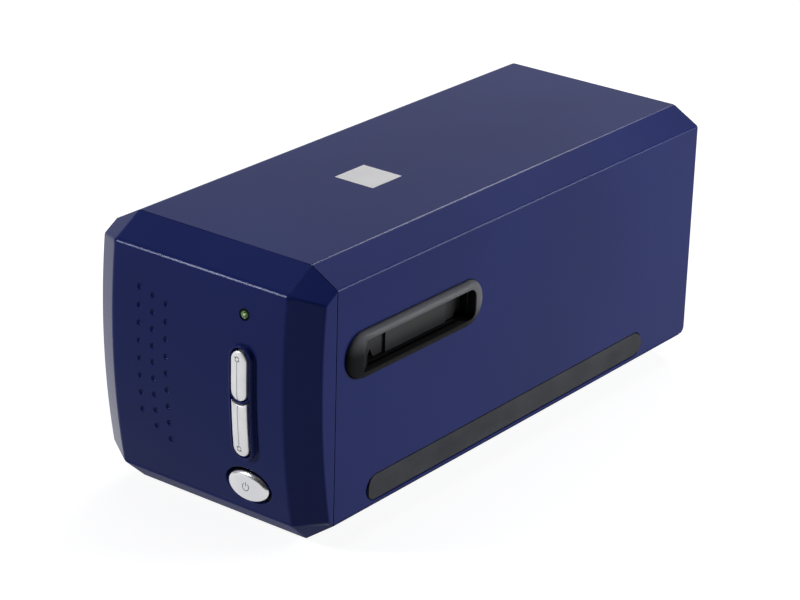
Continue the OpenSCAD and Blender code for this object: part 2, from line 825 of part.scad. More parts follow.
module door_spring(side) {
    steps = 12;
    count = spring_turns * steps;
    pitch = (spring_room - 4 * spring_wire_r) / spring_turns;
    coil = [for (i = [0 : count])
        [spring_r * cos(360 * i / steps), 2 * spring_wire_r + pitch * i / steps, spring_r * sin(360 * i / steps)]];
    color(steel) body_frame() to_side(side)
        translate([hinge_x, flap_y1, hinge_z]) swept_wire(coil, [0, 1, 0], spring_wire_r, 6);
}

module slot_bezel_right() { slot_bezel(1); }
module slot_bezel_left() { slot_bezel(-1); }
module dust_door_right() { dust_door(1); }
module dust_door_left() { dust_door(-1); }
module door_spring_right() { door_spring(1); }
module door_spring_left() { door_spring(-1); }

// ---------------------------------------------------------------------------------------------------
// Buttons, status light and the switch board behind the front

// Foremost place of a key's flange: just behind the curved inner wall at both its ends
function flange_y(z0, z1) = max(crown_y(z0), crown_y(z1)) + wall + 0.2;

module key_stem(z, y0) {
    translate([keys_x, 0, z]) bar_y(2, y0, stem_end_y);
}

module upper_scan_button() {
    y0 = flange_y(keys_split_z - flange_grow, keys_top_z + flange_grow);
    color(key_silver) body_frame() {
        intersection() {
            along_y(-front_bulge - 8, y0 + 0.1) upper_key_2d(0);
            crown_drum(boss_h + key_proud);
        }
        along_y(y0, y0 + flange_t) upper_key_2d(flange_grow);
        key_stem(upper_switch_z, y0 + 0.5);
    }
}

module lower_scan_button() {
    y0 = flange_y(keys_bottom_z - flange_grow, keys_split_z);
    color(key_silver) body_frame() {
        intersection() {
            along_y(-front_bulge - 8, y0 + 0.1) lower_key_2d(0);
            crown_drum(boss_h + key_proud);
        }
        along_y(y0, y0 + flange_t) lower_flange_2d();
        key_stem(lower_switch_z, y0 + 0.5);
    }
}

module power_button() {
    y0 = flange_y(power_z - power_h / 2 - power_flange - power_gap, power_z + power_h / 2);
    front = crown_y(power_z) - power_proud;
    dome = 0.9; // drop of the domed face at its two ends
    dome_r = (power_w * power_w / 4 + dome * dome) / (2 * dome);
    color(key_silver) body_frame() {
        intersection() {
            along_y(front - 1, y0 + 0.1) power_2d(0);
            translate([button_x, front + dome_r, power_z]) sphere(r = dome_r, $fn = 120);
        }
        along_y(y0, y0 + flange_t) power_2d(power_flange + power_gap);
        key_stem(power_z, y0 + 0.5);
    }
}

module light_pipe() {
    dome = 0.6;
    front = crown_y(light_z) - dome;
    ball_r = (pow(light_d / 2, 2) + dome * dome) / (2 * dome);
    color("#46c52a") body_frame() translate([button_x, 0, light_z]) intersection() {
        bar_y(light_d / 2, front, switch_board_y - 1.3);
        union() {
            translate([0, front + ball_r, 0]) sphere(r = ball_r, $fn = 64);
            bar_y(light_d, front + dome, 0);
        }
    }
}

module status_led() {
    color("#8fe070") body_frame() translate([button_x, switch_board_y - 1, light_z])
        block([-1.5, 0, -0.8], [1.5, 1, 0.8]);
}

module button_board() {
    color(board_green) body_frame() difference() {
        block([board_x[0], switch_board_y, board_z[0]], [board_x[1], switch_board_y + board_t, board_z[1]]);
        for (p = board_posts) translate([p.x, 0, p.y]) bar_y(small_screw_r + 0.1, -3, 3);
    }
}

module button_switches() {
    color(moulded_black) body_frame() for (z = switch_spots) translate([keys_x, switch_board_y, z]) {
        block([-3, -switch_body_h, -3], [3, 0, 3]);
        bar_y(1.7, -switch_body_h - plunger_h, -1);
    }
}

module front_board_screws() {
    head_y = switch_board_y + board_t;
    color(steel) body_frame() for (p = board_posts) translate([p.x, 0, p.y]) {
        bar_y(small_screw_r, switch_board_y - 5, head_y + 0.5);
        bar_y(small_head_r, head_y, head_y + small_head_h);
    }
}

// ---------------------------------------------------------------------------------------------------
// Chassis, film track and brackets

chassis_half = side_x - 8.3;
standoff_r = 3;
standoff_spots = [for (x = [-board_w / 2 + 4, board_w / 2 - 4], y = [main_y0 + 4, main_y1 - 22]) [x, y]];

module chassis() {
    flange_h = 5;
    color(steel) body_frame() difference() {
        union() {
            block([-chassis_half, 4.5, boss_top_z], [chassis_half, main_y1 - 4, floor_z]);
            // Turned-up front edge, and stand-offs for the main board
            block([-chassis_half + 18, 4.5, boss_top_z], [chassis_half - 18, 4.5 + chassis_t, floor_z + flange_h]);
            for (p = standoff_spots)
                translate([p.x, p.y, boss_top_z]) cylinder(r = standoff_r, h = main_z - boss_top_z);
        }
        for (p = case_spots) translate([p.x, p.y, 0]) cylinder(r = screw_m3_r + 0.15, h = 20);
        for (p = standoff_spots) translate([p.x, p.y, 0]) cylinder(r = small_screw_r + run, h = 20);
        // Lightening holes under the carriage
        for (y = [slot_y - 12, slot_y + 38, slot_y + 88]) translate([0, y, 0]) cylinder(r = 14, h = 20);
    }
}

track_spots = [for (x = [-channel_half + 4, channel_half - 4], y = [track_y0 + 1.9, track_y1 - 1.9]) [x, y]];

module film_track() {
    leg_x0 = leg_x - leg_w;
    color(moulded_black) body_frame() difference() {
        union() {
            block([-deck_half, track_y0, deck_z0], [deck_half, track_y1, deck_z1]);
            for (y = [track_y0, throat_y1 + 0.3])
                block([-channel_half, y, deck_z0], [channel_half, y + track_wall_t + 0.1, ceiling_z0]);
            for (side = [-1, 1], y = [track_y0, track_y1 - leg_w]) to_side(side)
                block([leg_x0, y, floor_z + 0.02], [leg_x, y + leg_w, deck_z0 + 0.5]);
            // Bearing of the lead screw's front journal, on the rear left leg
            block([-leg_x0 - 1, track_y1 - leg_w, screw_z - 6], [-screw_x + 5, track_y1, screw_z + 6]);
        }
        block([-window_w / 2, slot_y - window_w / 2, deck_z0 - 1], [window_w / 2, slot_y + window_w / 2, deck_z1 + 1]);
        for (p = track_spots) translate([p.x, p.y, deck_z0 + 4]) cylinder(r = small_screw_r + run, h = 20);
        translate([-screw_x, 0, screw_z]) bar_y(screw_front_r + run, track_y1 - leg_w - 1, track_y1 + 1);
    }
}

module track_cover() {
    color(moulded_black) body_frame() difference() {
        block([-channel_half, track_y0, ceiling_z0 + 0.02], [channel_half, track_y1, ceiling_z1]);
        block([-window_w / 2, slot_y - window_w / 2, 0], [window_w / 2, slot_y + window_w / 2, body_h]);
        for (p = track_spots) translate([p.x, p.y, 0]) cylinder(r = small_screw_r + 0.1, h = body_h);
    }
}

module track_screws() {
    color(steel) body_frame() for (p = track_spots) translate([p.x, p.y, 0]) {
        translate([0, 0, ceiling_z0 - 6]) cylinder(r = small_screw_r, h = 6.1 + ceiling_t);
        translate([0, 0, ceiling_z1]) cylinder(r = 1.8, h = 0.8);
    }
}

bracket_half = rod_x + rod_d / 2 + 2.5;

module front_bracket() {
    y = front_bracket_y;
    color(steel) body_frame() difference() {
        union() {
            block([-bracket_half, y, floor_z], [bracket_half, y + bracket_t, rod_z + 8]);
            block([2 - rod_x, y, floor_z], [rod_x - 2, y + 10, floor_z + bracket_t]);
        }
        for (x = [-rod_x, rod_x]) translate([x, 0, rod_z]) bar_y(rod_d / 2 + run, y - 1, y + 3);
    }
}

module rear_bracket() {
    y = rear_bracket_y;
    half = chassis_half - 0.5;
    top = screw_z + motor_ear + 5;
    color(steel) body_frame() difference() {
        along_y(y, y + bracket_t)
            polygon([[-half, floor_z], [-board_w / 2 - 1, floor_z], [-board_w / 2 - 1, rod_z - 6],
                [board_w / 2 + 1, rod_z - 6], [board_w / 2 + 1, floor_z], [half, floor_z],
                [half, rod_z + 8], [motor_x + 24, rod_z + 14], [motor_x + 24, top], [-half, top]]);
        for (x = [-rod_x, rod_x]) translate([x, 0, rod_z]) bar_y(rod_d / 2 + run, y - 1, y + 3);
        translate([-screw_x, 0, screw_z]) bar_y(screw_rear_r + run, y - 1, y + 3);
        translate([motor_x, 0, screw_z]) bar_y(motor_pilot_r + 0.1, y - 1, y + 3);
        for (s = [-1, 1])
            translate([motor_x, 0, screw_z + s * motor_ear]) bar_y(small_screw_r + 0.1, y - 1, y + 3);
    }
}

module guide_rod(side) {
    color(steel) body_frame() translate([side * rod_x, 0, rod_z])
        bar_y(rod_d / 2, front_bracket_y - 0.8, rear_bracket_y + bracket_t + 0.8);
}

module guide_rod_left() { guide_rod(-1); }
module guide_rod_right() { guide_rod(1); }

// ---------------------------------------------------------------------------------------------------
// Carriage and its optics

module carriage_housing() {
    half = tray_w / 2;
    wedge = mirror_len / 2 * sin(45);
    back = mirror_t * sin(45);
    color("#26272b") body_frame() difference() {
        union() {
            difference() {
                block([-half, tray_y0, tray_z0], [half, tray_y1, tray_z1]);
                block([-half + tray_t, tray_y0 + tray_t, tray_z0 + tray_t],
                    [half - tray_t, tray_y1 - tray_t, tray_z1 + 1]);
            }
            // Two sloping cheeks under the mirror
            for (s = [-1, 1]) to_side(s)
                along_x(mirror_w / 2 - 6, mirror_w / 2)
                    polygon([[tray_y0 + tray_t - 0.1, tray_z0 + 1],
                        [scan_y + wedge - back, tray_z0 + 1], [scan_y + wedge - back, axis_z - wedge - back],
                        [scan_y - wedge - back, axis_z + wedge - back], [tray_y0 + tray_t - 0.1, axis_z + wedge - back]]);
            // Cradle of the lens
            block([-lens_d / 2 - 4, lens_y + 2, tray_z0 + 1], [lens_d / 2 + 4, lens_y + lens_len - 4, axis_z - 3]);
            // Eyes of the left rod, fork of the right rod
            for (y = eye_y) block([-rod_x - eye_half, y, rod_z - eye_half], [-half + 1, y + eye_len, rod_z + eye_half]);
            block([half - 1, fork_y, rod_z - eye_half], [rod_x + rod_d / 2 + 0.6, fork_y + fork_len, rod_z + eye_half]);
            // Block that holds the drive nut, and the flag of the home sensor
            block([-screw_x - nut_half, nut_y - 2, screw_z - nut_half], [-half + 1, nut_y + nut_len + 2, screw_z + nut_half]);
            block([19.5, tray_y0 + 40, tray_z0 - 7], [20.5, tray_y0 + 46, tray_z0 + 1]);
        }
        for (y = eye_y) translate([-rod_x, 0, rod_z]) {
            bar_y(rod_d / 2 + 0.5, y - 1, y + eye_len + 1);
            bar_y(bush_r + 0.01, y + 2, y + 2 + bush_len);
        }
        block([rod_x - rod_d / 2 - 0.05, fork_y - 1, rod_z - rod_d / 2 - run], [rod_x + 10, fork_y + fork_len + 1, rod_z + rod_d / 2 + run]);
        translate([0, 0, axis_z]) bar_y(lens_d / 2 + 0.05, lens_y - 1, lens_y + lens_len + 1);
        // The nut sits in a slot, and the screw passes with room
        block([-screw_x - 5, nut_y, screw_z - 5], [-screw_x + 5, nut_y + nut_len, screw_z + nut_half + 1]);
        translate([-screw_x, 0, screw_z]) bar_y(screw_d / 2 + 0.4, nut_y - 3, nut_y + nut_len + 3);
        // Window of the line sensor in the rear wall
        block([-26, tray_y1 - tray_t - 1, axis_z - 6], [26, tray_y1 + 1, axis_z + 6]);
    }
}

module carriage_lid() {
    color("#2b2c30") body_frame() difference() {
        block([-tray_w / 2, tray_y0, tray_z1 + 0.02], [tray_w / 2, tray_y1, lid_z1]);
        block([-22, scan_y - 5, 0], [22, scan_y + 5, body_h]);
    }
}

module rod_bushings() {
    color("#c9a24a") body_frame() for (y = eye_y) translate([-rod_x, 0, rod_z]) difference() {
        bar_y(bush_r, y + 2.05, y + 1.95 + bush_len);
        bar_y(rod_d / 2 + run, y, y + eye_len);
    }
}

module drive_nut() {
    color("#e8e2cf") body_frame() difference() {
        block([-screw_x - 4.95, nut_y + 0.05, screw_z - 4.95], [-screw_x + 4.95, nut_y + nut_len - 0.05, screw_z + nut_half]);
        translate([-screw_x, 0, screw_z]) bar_y(screw_d / 2 + run, nut_y - 1, nut_y + nut_len + 1);
    }
}

module scan_mirror() {
    color("#dfe6ea") body_frame() translate([0, scan_y, axis_z]) rotate([-45, 0, 0])
        block([-mirror_w / 2, -mirror_len / 2, -mirror_t + 0.02], [mirror_w / 2, mirror_len / 2, 0]);
}

module lens_barrel() {
    color("#202124") body_frame() translate([0, 0, axis_z]) difference() {
        union() {
            bar_y(lens_d / 2, lens_y, lens_y + lens_len - 6);
            bar_y(lens_d / 2 - 2, lens_y + lens_len - 7, lens_y + lens_len);
        }
        bar_y(glass_r - 1, lens_y - 1, lens_y + lens_len + 1);
        bar_y(glass_r + 0.05, lens_y - 1, lens_y + 4.5);
        bar_y(glass_r + 0.05, lens_y + lens_len - 4.5, lens_y + lens_len + 1);
    }
}

// Two domed lenses, seated on the shoulders inside the barrel
module lens_glass() {
    ball_r = 24;
    rim = 1.6;
    dome = ball_r - sqrt(ball_r * ball_r - glass_r * glass_r);
    color("#bcd4e6") body_frame() for (end = [0, 1])
        translate([0, end == 0 ? lens_y + 4.4 : lens_y + lens_len - 4.4, axis_z])
            rotate([end == 0 ? 90 : -90, 0, 0]) rotate_extrude($fn = 96) intersection() {
                translate([0, rim + dome - ball_r]) circle(r = ball_r, $fn = 180);
                square([glass_r, rim + dome]);
            }
}

module lens_strap() {
    strap_y = lens_y + 5;
    strap_len = 9;
    strap_t = 0.6;
    r = lens_d / 2 + 0.1;
    foot_z = axis_z - 2.98;
    color(steel) body_frame() difference() {
        union() {
            translate([0, 0, axis_z]) bar_y(r + strap_t, strap_y, strap_y + strap_len);
            block([-r - 3.6, strap_y, foot_z], [r + 3.6, strap_y + strap_len, foot_z + strap_t]);
        }
        translate([0, 0, axis_z]) bar_y(r, strap_y - 1, strap_y + strap_len + 1);
        block([-lens_d, strap_y - 1, foot_z - lens_d], [lens_d, strap_y + strap_len + 1, foot_z]);
    }
}

module line_sensor() {
    color("#3a3330") body_frame()
        block([-25, sensor_y - tray_t - 1.2, axis_z - 5], [25, sensor_y - 0.02, axis_z + 5]);
}

module sensor_board() {
    color(board_green) body_frame()
        block([-32, sensor_y, axis_z - 16], [32, sensor_y + board_t, axis_z + 17]);
}

module lamp_arm() {
    color("#26272b") body_frame() {
        // Two posts on the lid and a tray that reaches forward over the film
        for (s = [-1, 1]) to_side(s)
            block([tray_w / 2 - arm_w, arm_y0, lid_z1 + 0.02], [tray_w / 2, arm_y0 + arm_len, arm_z1]);
        block([-tray_w / 2, jaw_y0, arm_z1 - jaw_t], [tray_w / 2, arm_y0 + arm_len, arm_z1]);
        for (s = [-1, 1]) to_side(s)
            block([tray_w / 2 - 2, jaw_y0, arm_z1 - 6], [tray_w / 2, arm_y0 + 1, arm_z1 - jaw_t + 0.1]);
        // Walls that hold the diffuser
        for (y = [scan_y - diffuser_w / 2 - 1.6, scan_y + diffuser_w / 2 + 0.1])
            block([-tray_w / 2 + 1, y, lamp_z], [tray_w / 2 - 1, y + 1.5, arm_z1 - jaw_t + 0.1]);
    }
}

module lamp_board() {
    count = 7;
    color("#f2f2ee") body_frame() {
        block([-24, scan_y - 4.8, arm_z1 - jaw_t - 1.22], [24, scan_y + 4.8, arm_z1 - jaw_t - 0.02]);
        for (i = [0 : count - 1])
            block([-19.5 + 6 * i, scan_y - 1.4, arm_z1 - jaw_t - 2], [-16.5 + 6 * i, scan_y + 1.4, arm_z1 - jaw_t - 1.2]);
    }
}

module lamp_diffuser() {
    color("#f4f6f6") body_frame()
        block([-25, scan_y - diffuser_w / 2, lamp_z], [25, scan_y + diffuser_w / 2, lamp_z + diffuser_t]);
}

// ---------------------------------------------------------------------------------------------------
// Drive: involute gears on the lead screw and the motor

function inv(a) = tan(a) * 180 / PI - a;
function gear_points(teeth, m) = let(
        rp = m * teeth / 2,
        rb = rp * cos(pressure_angle),
        ra = rp + 0.95 * m,
        rr = rp - 1.2 * m,
        half = 90 / teeth - backlash / rp * 90 / PI,
        r0 = max(rb, rr) + 0.01 * m,
        steps = 4,
        radii = [for (i = [0 : steps]) r0 + (ra - r0) * i / steps],
        flank = [for (r = radii) [r, half + inv(pressure_angle) - inv(acos(rb / r))]]
    ) [for (k = [0 : teeth - 1]) let(c = 360 * k / teeth) each concat(
        [[rr * cos(c - flank[0][1] - 0.4), rr * sin(c - flank[0][1] - 0.4)]],
        [for (f = flank) [f[0] * cos(c - f[1]), f[0] * sin(c - f[1])]],
        [for (i = [steps : -1 : 0]) [flank[i][0] * cos(c + flank[i][1]), flank[i][0] * sin(c + flank[i][1])]],
        [[rr * cos(c + flank[0][1] + 0.4), rr * sin(c + flank[0][1] + 0.4)]]
    )];

module lead_screw() {
    color(steel) body_frame() translate([-screw_x, 0, screw_z]) {
        bar_y(screw_front_r, track_y1 - leg_w + 0.5, track_y1 + 0.5);
        bar_y(screw_d / 2, track_y1 + 0.2, rear_bracket_y - 0.2);
        bar_y(screw_rear_r, rear_bracket_y - 0.5, gear_y + gear_face + 2);
    }
}

module screw_gear() {
    color("#ece7d6") body_frame() translate([-screw_x, 0, screw_z]) difference() {
        union() {
            along_y(gear_y, gear_y + gear_face) polygon(gear_points(gear_teeth, gear_module));
            bar_y(4, gear_y - 1.5, gear_y + gear_face + 1.2);
        }
        bar_y(screw_rear_r + 0.01, gear_y - 5, gear_y + gear_face + 5);
        // Round holes that lighten the web
        for (a = [30 : 60 : 330]) rotate([0, a, 0]) translate([pitch_gear * 0.6, 0, 0])
            bar_y(pitch_gear * 0.16, gear_y - 5, gear_y + gear_face + 5);
    }
}

module stepper_motor() {
    y1 = rear_bracket_y - 0.02;
    color(steel) body_frame() translate([motor_x, 0, screw_z]) difference() {
        union() {
            bar_y(motor_d / 2, y1 - motor_len, y1);
            bar_y(motor_pilot_r, y1 - 0.5, y1 + bracket_t);
            along_y(y1 - 0.8, y1) {
                for (s = [-1, 1]) translate([0, s * motor_ear]) circle(r = 3.4);
                translate([-3.4, -motor_ear]) square([6.8, 2 * motor_ear]);
            }
        }
        bar_y(motor_shaft_r + run, y1 - motor_len + 1, y1 + 5);
        for (s = [-1, 1]) translate([0, 0, s * motor_ear]) bar_y(small_screw_r + run, y1 - 5, y1 + 5);
    }
}

module motor_shaft() {
    color(steel) body_frame() translate([motor_x, 0, screw_z])
        bar_y(motor_shaft_r, rear_bracket_y - motor_len + 1.5, gear_y + pinion_face + 1);
}

module motor_pinion() {
    color("#c9a24a") body_frame() translate([motor_x, 0, screw_z]) difference() {
        along_y(gear_y - 0.5, gear_y - 0.5 + pinion_face)
            rotate(180 + 180 / pinion_teeth) polygon(gear_points(pinion_teeth, gear_module));
        bar_y(motor_shaft_r + 0.01, gear_y - 5, gear_y + 10);
    }
}

module motor_screws() {
    head_y = rear_bracket_y + bracket_t;
    color(steel) body_frame() for (s = [-1, 1]) translate([motor_x, 0, screw_z + s * motor_ear]) {
        bar_y(small_screw_r, rear_bracket_y - 3, head_y + 0.3);
        bar_y(1.9, head_y, head_y + 0.7);
    }
}

// ---------------------------------------------------------------------------------------------------
// Electronics at the rear

module main_board() {
    color(board_green) body_frame() difference() {
        block([-board_w / 2, main_y0, main_z + 0.02], [board_w / 2, main_y1, main_z + board_t]);
        for (p = standoff_spots) translate([p.x, p.y, 0]) cylinder(r = small_screw_r + 0.1, h = 30);
    }
}

// Processor, memory, coil, capacitors and the ribbon's socket
module board_parts() {
    z = main_z + board_t + 0.01;
    color(moulded_black) body_frame() {
        block([-12, main_y0 + 22, z], [4, main_y0 + 38, z + 1.4]);
        block([10, main_y0 + 24, z], [20, main_y0 + 34, z + 1.1]);
        block([-30, main_y0 + 12, z], [-22, main_y0 + 20, z + 4]);
        for (x = [24, 31]) translate([x, main_y1 - 8, z]) cylinder(r = 2.5, h = 6);
        block([8, main_y0 + 3, z], [26, main_y0 + 8, z + 2]);
    }
}

module usb_socket() {
    z = main_z + board_t + 0.01;
    y1 = main_y1 + 2.9;
    w = usb_w / 2;
    color(steel) body_frame() {
        difference() {
            block([usb_x - w, y1 - usb_len, z], [usb_x + w, y1, z + usb_h]);
            block([usb_x - w + 1.7, y1 - 9, z + 1.2], [usb_x + w - 1.7, y1 + 1, z + usb_h - 1.2]);
        }
        // Tongue that carries the contacts
        block([usb_x - 2.6, y1 - 9.5, z + 3.8], [usb_x + 2.6, y1 - 1, z + 7]);
    }
}

module power_socket() {
    z = main_z + board_t + 0.01;
    y1 = main_y1 + 2.9;
    color(moulded_black) body_frame() {
        difference() {
            block([jack_x - jack_w / 2, y1 - jack_len, z], [jack_x + jack_w / 2, y1, z + jack_h]);
            translate([jack_x, 0, z + jack_h / 2 + 0.6]) bar_y(3.1, y1 - 10, y1 + 1);
        }
        translate([jack_x, 0, z + jack_h / 2 + 0.6]) bar_y(1, y1 - 11, y1 - 1);
    }
}

module board_screws() {
    color(steel) body_frame() for (p = standoff_spots) translate([p.x, p.y, 0]) {
        translate([0, 0, main_z - 3.5]) cylinder(r = small_screw_r, h = 3.5 + board_t + 0.5);
        translate([0, 0, main_z + board_t]) cylinder(r = small_head_r, h = small_head_h);
    }
}

module home_sensor() {
    y0 = tray_y0 + 39;
    y1 = tray_y0 + 49;
    color(moulded_black) body_frame() difference() {
        block([16, y0, floor_z + 0.02], [24, y1, tray_z0 - 2]);
        block([18.5, y0 - 1, floor_z + 10], [21.5, y1 + 1, tray_z0]);
    }
}

// The ribbon leaves the sensor board downwards, turns in a loop and ends in its socket on the main board
module flat_cable() {
    t = 0.3;
    bend = 5;
    y0 = sensor_y + board_t / 2;
    z1 = main_z + board_t + 1;
    color("#e9e6dc") body_frame() along_x(10, 24) {
        translate([y0 - t / 2, z1 + bend - 0.01]) square([t, axis_z - 16.2 - z1 - bend]);
        translate([y0 + bend, z1 + bend]) intersection() {
            difference() {
                circle(r = bend + t / 2);
                circle(r = bend - t / 2);
            }
            translate([-bend - 1, -bend - 1]) square(bend + 1);
        }
        translate([y0 + bend - 0.01, z1 - t / 2]) square([main_y0 + 2.9 - y0 - bend, t]);
    }
}

main_cover();
base_pan();
front_bezel();
rear_panel();
side_strip_right();
side_strip_left();
slot_bezel_right();
slot_bezel_left();
dust_door_right();
dust_door_left();
door_spring_right();
door_spring_left();
upper_scan_button();
lower_scan_button();
power_button();
light_pipe();
top_label();
foot_front_left();
foot_front_right();
foot_rear_left();
foot_rear_right();
button_board();
button_switches();
status_led();
front_board_screws();
chassis();
film_track();
track_cover();
track_screws();
front_bracket();
rear_bracket();
guide_rod_left();
guide_rod_right();
carriage_housing();
carriage_lid();
rod_bushings();
drive_nut();
scan_mirror();
lens_barrel();
lens_glass();
lens_strap();
line_sensor();
sensor_board();
lamp_arm();
lamp_board();
lamp_diffuser();
lead_screw();
screw_gear();
stepper_motor();
motor_shaft();
motor_pinion();
motor_screws();
main_board();
board_parts();
usb_socket();
power_socket();
board_screws();
home_sensor();
flat_cable();
case_screws();
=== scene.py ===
"""Dressed model of a desktop scanner for film negatives.

Lengths in the tables below are millimetres, y from the seam between cover and front, z from the
underside of the base, as the solids are drawn. at() turns them into the frame's metres.
"""
import json
import math

import bmesh
import bpy
from mathutils import Matrix, Vector


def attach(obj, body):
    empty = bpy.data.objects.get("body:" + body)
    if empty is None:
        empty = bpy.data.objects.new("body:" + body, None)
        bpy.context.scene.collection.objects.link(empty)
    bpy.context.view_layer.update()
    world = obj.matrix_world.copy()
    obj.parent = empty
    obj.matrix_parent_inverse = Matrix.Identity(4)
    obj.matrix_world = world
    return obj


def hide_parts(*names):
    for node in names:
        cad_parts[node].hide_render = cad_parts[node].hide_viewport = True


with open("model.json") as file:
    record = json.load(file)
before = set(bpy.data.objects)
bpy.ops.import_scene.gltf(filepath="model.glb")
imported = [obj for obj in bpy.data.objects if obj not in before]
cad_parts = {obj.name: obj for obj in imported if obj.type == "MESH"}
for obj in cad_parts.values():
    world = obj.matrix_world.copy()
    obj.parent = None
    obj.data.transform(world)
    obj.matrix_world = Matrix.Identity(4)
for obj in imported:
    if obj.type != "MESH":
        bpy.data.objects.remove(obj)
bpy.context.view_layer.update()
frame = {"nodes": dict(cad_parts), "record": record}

MM = 0.001
SEAM_Y = -116.6
BASE_Z = 2.6

# Body
SIDE_X = 56.85
BODY_H = 116.3
WALL = 2.5
TOP_CHAMFER = (12.95, 7.2)
BOTTOM_CHAMFER = (13.75, 10.0)

# Front: a crowned face with bevelled sides, sloped at its top and bottom
BULGE = 16.4
CROWN_R = 316.0
CROWN_Z = 71.7
BEVEL = (12.85, 7.85)
TOP_SLOPE = math.radians(31)
BOTTOM_SLOPE = math.radians(43)
FACE_HALF = SIDE_X - BEVEL[0]
CROWN_ROWS = 28
BLANK = 400
BROW_EDGE = 2.0
FRONT_EDGE = 0.75
SEAM_EDGE = 0.2
SEAM_GAP = 0.15
POSTS = ((35.3, 90.9), (13.3, 70.7), (35.3, 46.6))

# Buttons. Profiles are pairs: how far the outline grows, or an inset or radius, and a height or drop
KEYS_X = 24.0
MARK_X = 23.6
KEY_R = 3.9
UPPER = (64.1, 77.3)
LOWER = (39.9, 64.1)
KEY_BRIDGE = 1.7
KEY_GAP = 0.9
BRIDGE_GAP = 0.5
KEY_CROWN = ((0.0, 0.85), (0.03, 0.68), (0.12, 0.52), (0.3, 0.4), (0.6, 0.3), (1.1, 0.18), (1.8, 0.08),
             (2.6, 0.02), (3.3, 0.0))
BOSS_H = 2.0
BOSS_MARGIN = 1.7
BOSS_PROFILE = ((0.8, -0.7), (0.8, -0.02), (0.62, 0.12), (0.52, 0.4), (0.22, BOSS_H - 0.75),
                (0.1, BOSS_H - 0.35), (-0.08, BOSS_H - 0.14), (-0.4, BOSS_H))
KEY_PROUD = 1.0
WELL_DEEP = -16
# Where the finished caps end and their bare stems begin
KEY_STEM_Y = -13.4
POWER_STEM_Y = -9.2
INLAY = (-0.1, 0.015)
DIMPLE = ((0.45, -0.72), (0.6, -0.68), (1.12, -0.34), (1.2, -0.24), (1.3, -0.08), (1.38, -0.02), (1.5, 0.0),
          (1.5, 1.5))
# Place across, upper end, pitch and count
DIMPLE_ROWS = ((-29.6, 92.2, 7.62, 8), (-22.5, 90.4, 7.12, 9), (-15.5, 88.6, 7.37, 9))
POWER = (20.7, 12.6)
POWER_Z = 21.8
POWER_GAP = 1.3
POWER_PROUD = 1.9
POWER_PROFILE = ((0, -3.4), (0, POWER_PROUD - 1.6), (-0.05, POWER_PROUD - 1.3), (-0.22, POWER_PROUD - 0.95),
                 (-0.5, POWER_PROUD - 0.62), (-0.9, POWER_PROUD - 0.33), (-1.4, POWER_PROUD - 0.13),
                 (-2.0, POWER_PROUD - 0.02))
POWER_BALL = 61.0
LIGHT_Z = 95.2
LIGHT_R = 1.8
LENS_R = 1.62
LENS_H = (-0.95, -0.05)
LENS_CROWN = 0.6
# A black ring in the light's counterbore: painted shade
SHADE_RING = ((1.66, -0.88), (2.46, -0.88), (2.46, -0.32), (2.3, -0.2), (1.8, -0.2), (1.66, -0.32))

# Film slot
SLOT_Y = 52.3
SLOT_Z = 78.2
THROAT = (63.4, 12.9)
THROAT_END = 50.0
# Length of the black sheet of painted shade in the rear of the opening
SHADE_SHEET_LENGTH = 5.5
RING = (86.9, 19.5)
RING_PROUD = 3.15
RING_Y = (SLOT_Y - 46.9, SLOT_Y + 40.0)
RING_SLOPES = (7.4, 6.0, 3.1)
RING_FOOT = ((-0.4, -1.5), (-0.4, 0.1), (-0.05, 0.35))
LIP = (SLOT_Y - 39.1, SLOT_Y + 33.0)
LIP_EDGE = 0.45

# Inside
SPRING = (51.33, 86.85)
SPRING_R = 1.42
SPRING_WIRE_R = 0.2
SPRING_LENGTH = 3.6
FLAP_REAR_Y = 85.5
LEAD_SCREW = (-41.5, 52.0)
LEAD_SCREW_R = 2.5
LEAD_SCREW_Y = (87.8, 214.0)
THREAD_H = 0.36
THREAD_PITCH = 2.0
# Middle and size of each chip on the main board
CHIPS = ((-4.0, 218.2, 16.0), (15.0, 217.2, 10.0))
LEAD_BEND = ((-0.1, 0.7), (0.4, 0.7), (0.6, 0.08), (1.1, 0.08))
LEAD_SECTION = ((-0.2, -0.06), (0.2, -0.06), (0.2, 0.06), (-0.2, 0.06))
BOARD_TOP_Z = 15.6


def at(x, y, z):
    """A place on the drawing, in the frame's metres."""
    return Vector((x, y + SEAM_Y, z + BASE_Z)) * MM


# --------------------------------------------------------------------------------------------------
# Materials

def linear(code):
    """Linear colour from an sRGB hex value."""
    out = []
    for i in (1, 3, 5):
        c = int(code[i:i + 2], 16) / 255
        out.append(c / 12.92 if c <= 0.04045 else ((c + 0.055) / 1.055) ** 2.4)
    return (*out, 1.0)


def add_node(tree, kind, inputs=None, **settings):
    """Adds a node with its settings; inputs are values or sockets to link from, by name or number."""
    node = tree.nodes.new(kind)
    for name, value in settings.items():
        setattr(node, name, value)
    for key, value in (inputs or {}).items():
        if isinstance(value, bpy.types.NodeSocket):
            tree.links.new(value, node.inputs[key])
        else:
            node.inputs[key].default_value = value
    return node


def calc(tree, operation, a, b):
    """One step of arithmetic on numbers or sockets."""
    return add_node(tree, "ShaderNodeMath", {0: a, 1: b}, operation=operation).outputs[0]


def span(tree, value, start, end, low=0.0, high=1.0, **settings):
    """Takes a value from start to end over to low to high, and holds it there beyond."""
    return add_node(tree, "ShaderNodeMapRange", {"Value": value, "From Min": start, "From Max": end,
                                                 "To Min": low, "To Max": high}, **settings).outputs[0]


def blend(tree, factor, a, b):
    """A colour between two others."""
    return add_node(tree, "ShaderNodeMix", {"Factor": factor, 6: a, 7: b}, data_type="RGBA").outputs[2]


# Scale of a noise whose patches are a millimetre across
NOISE_PER_MM = 500


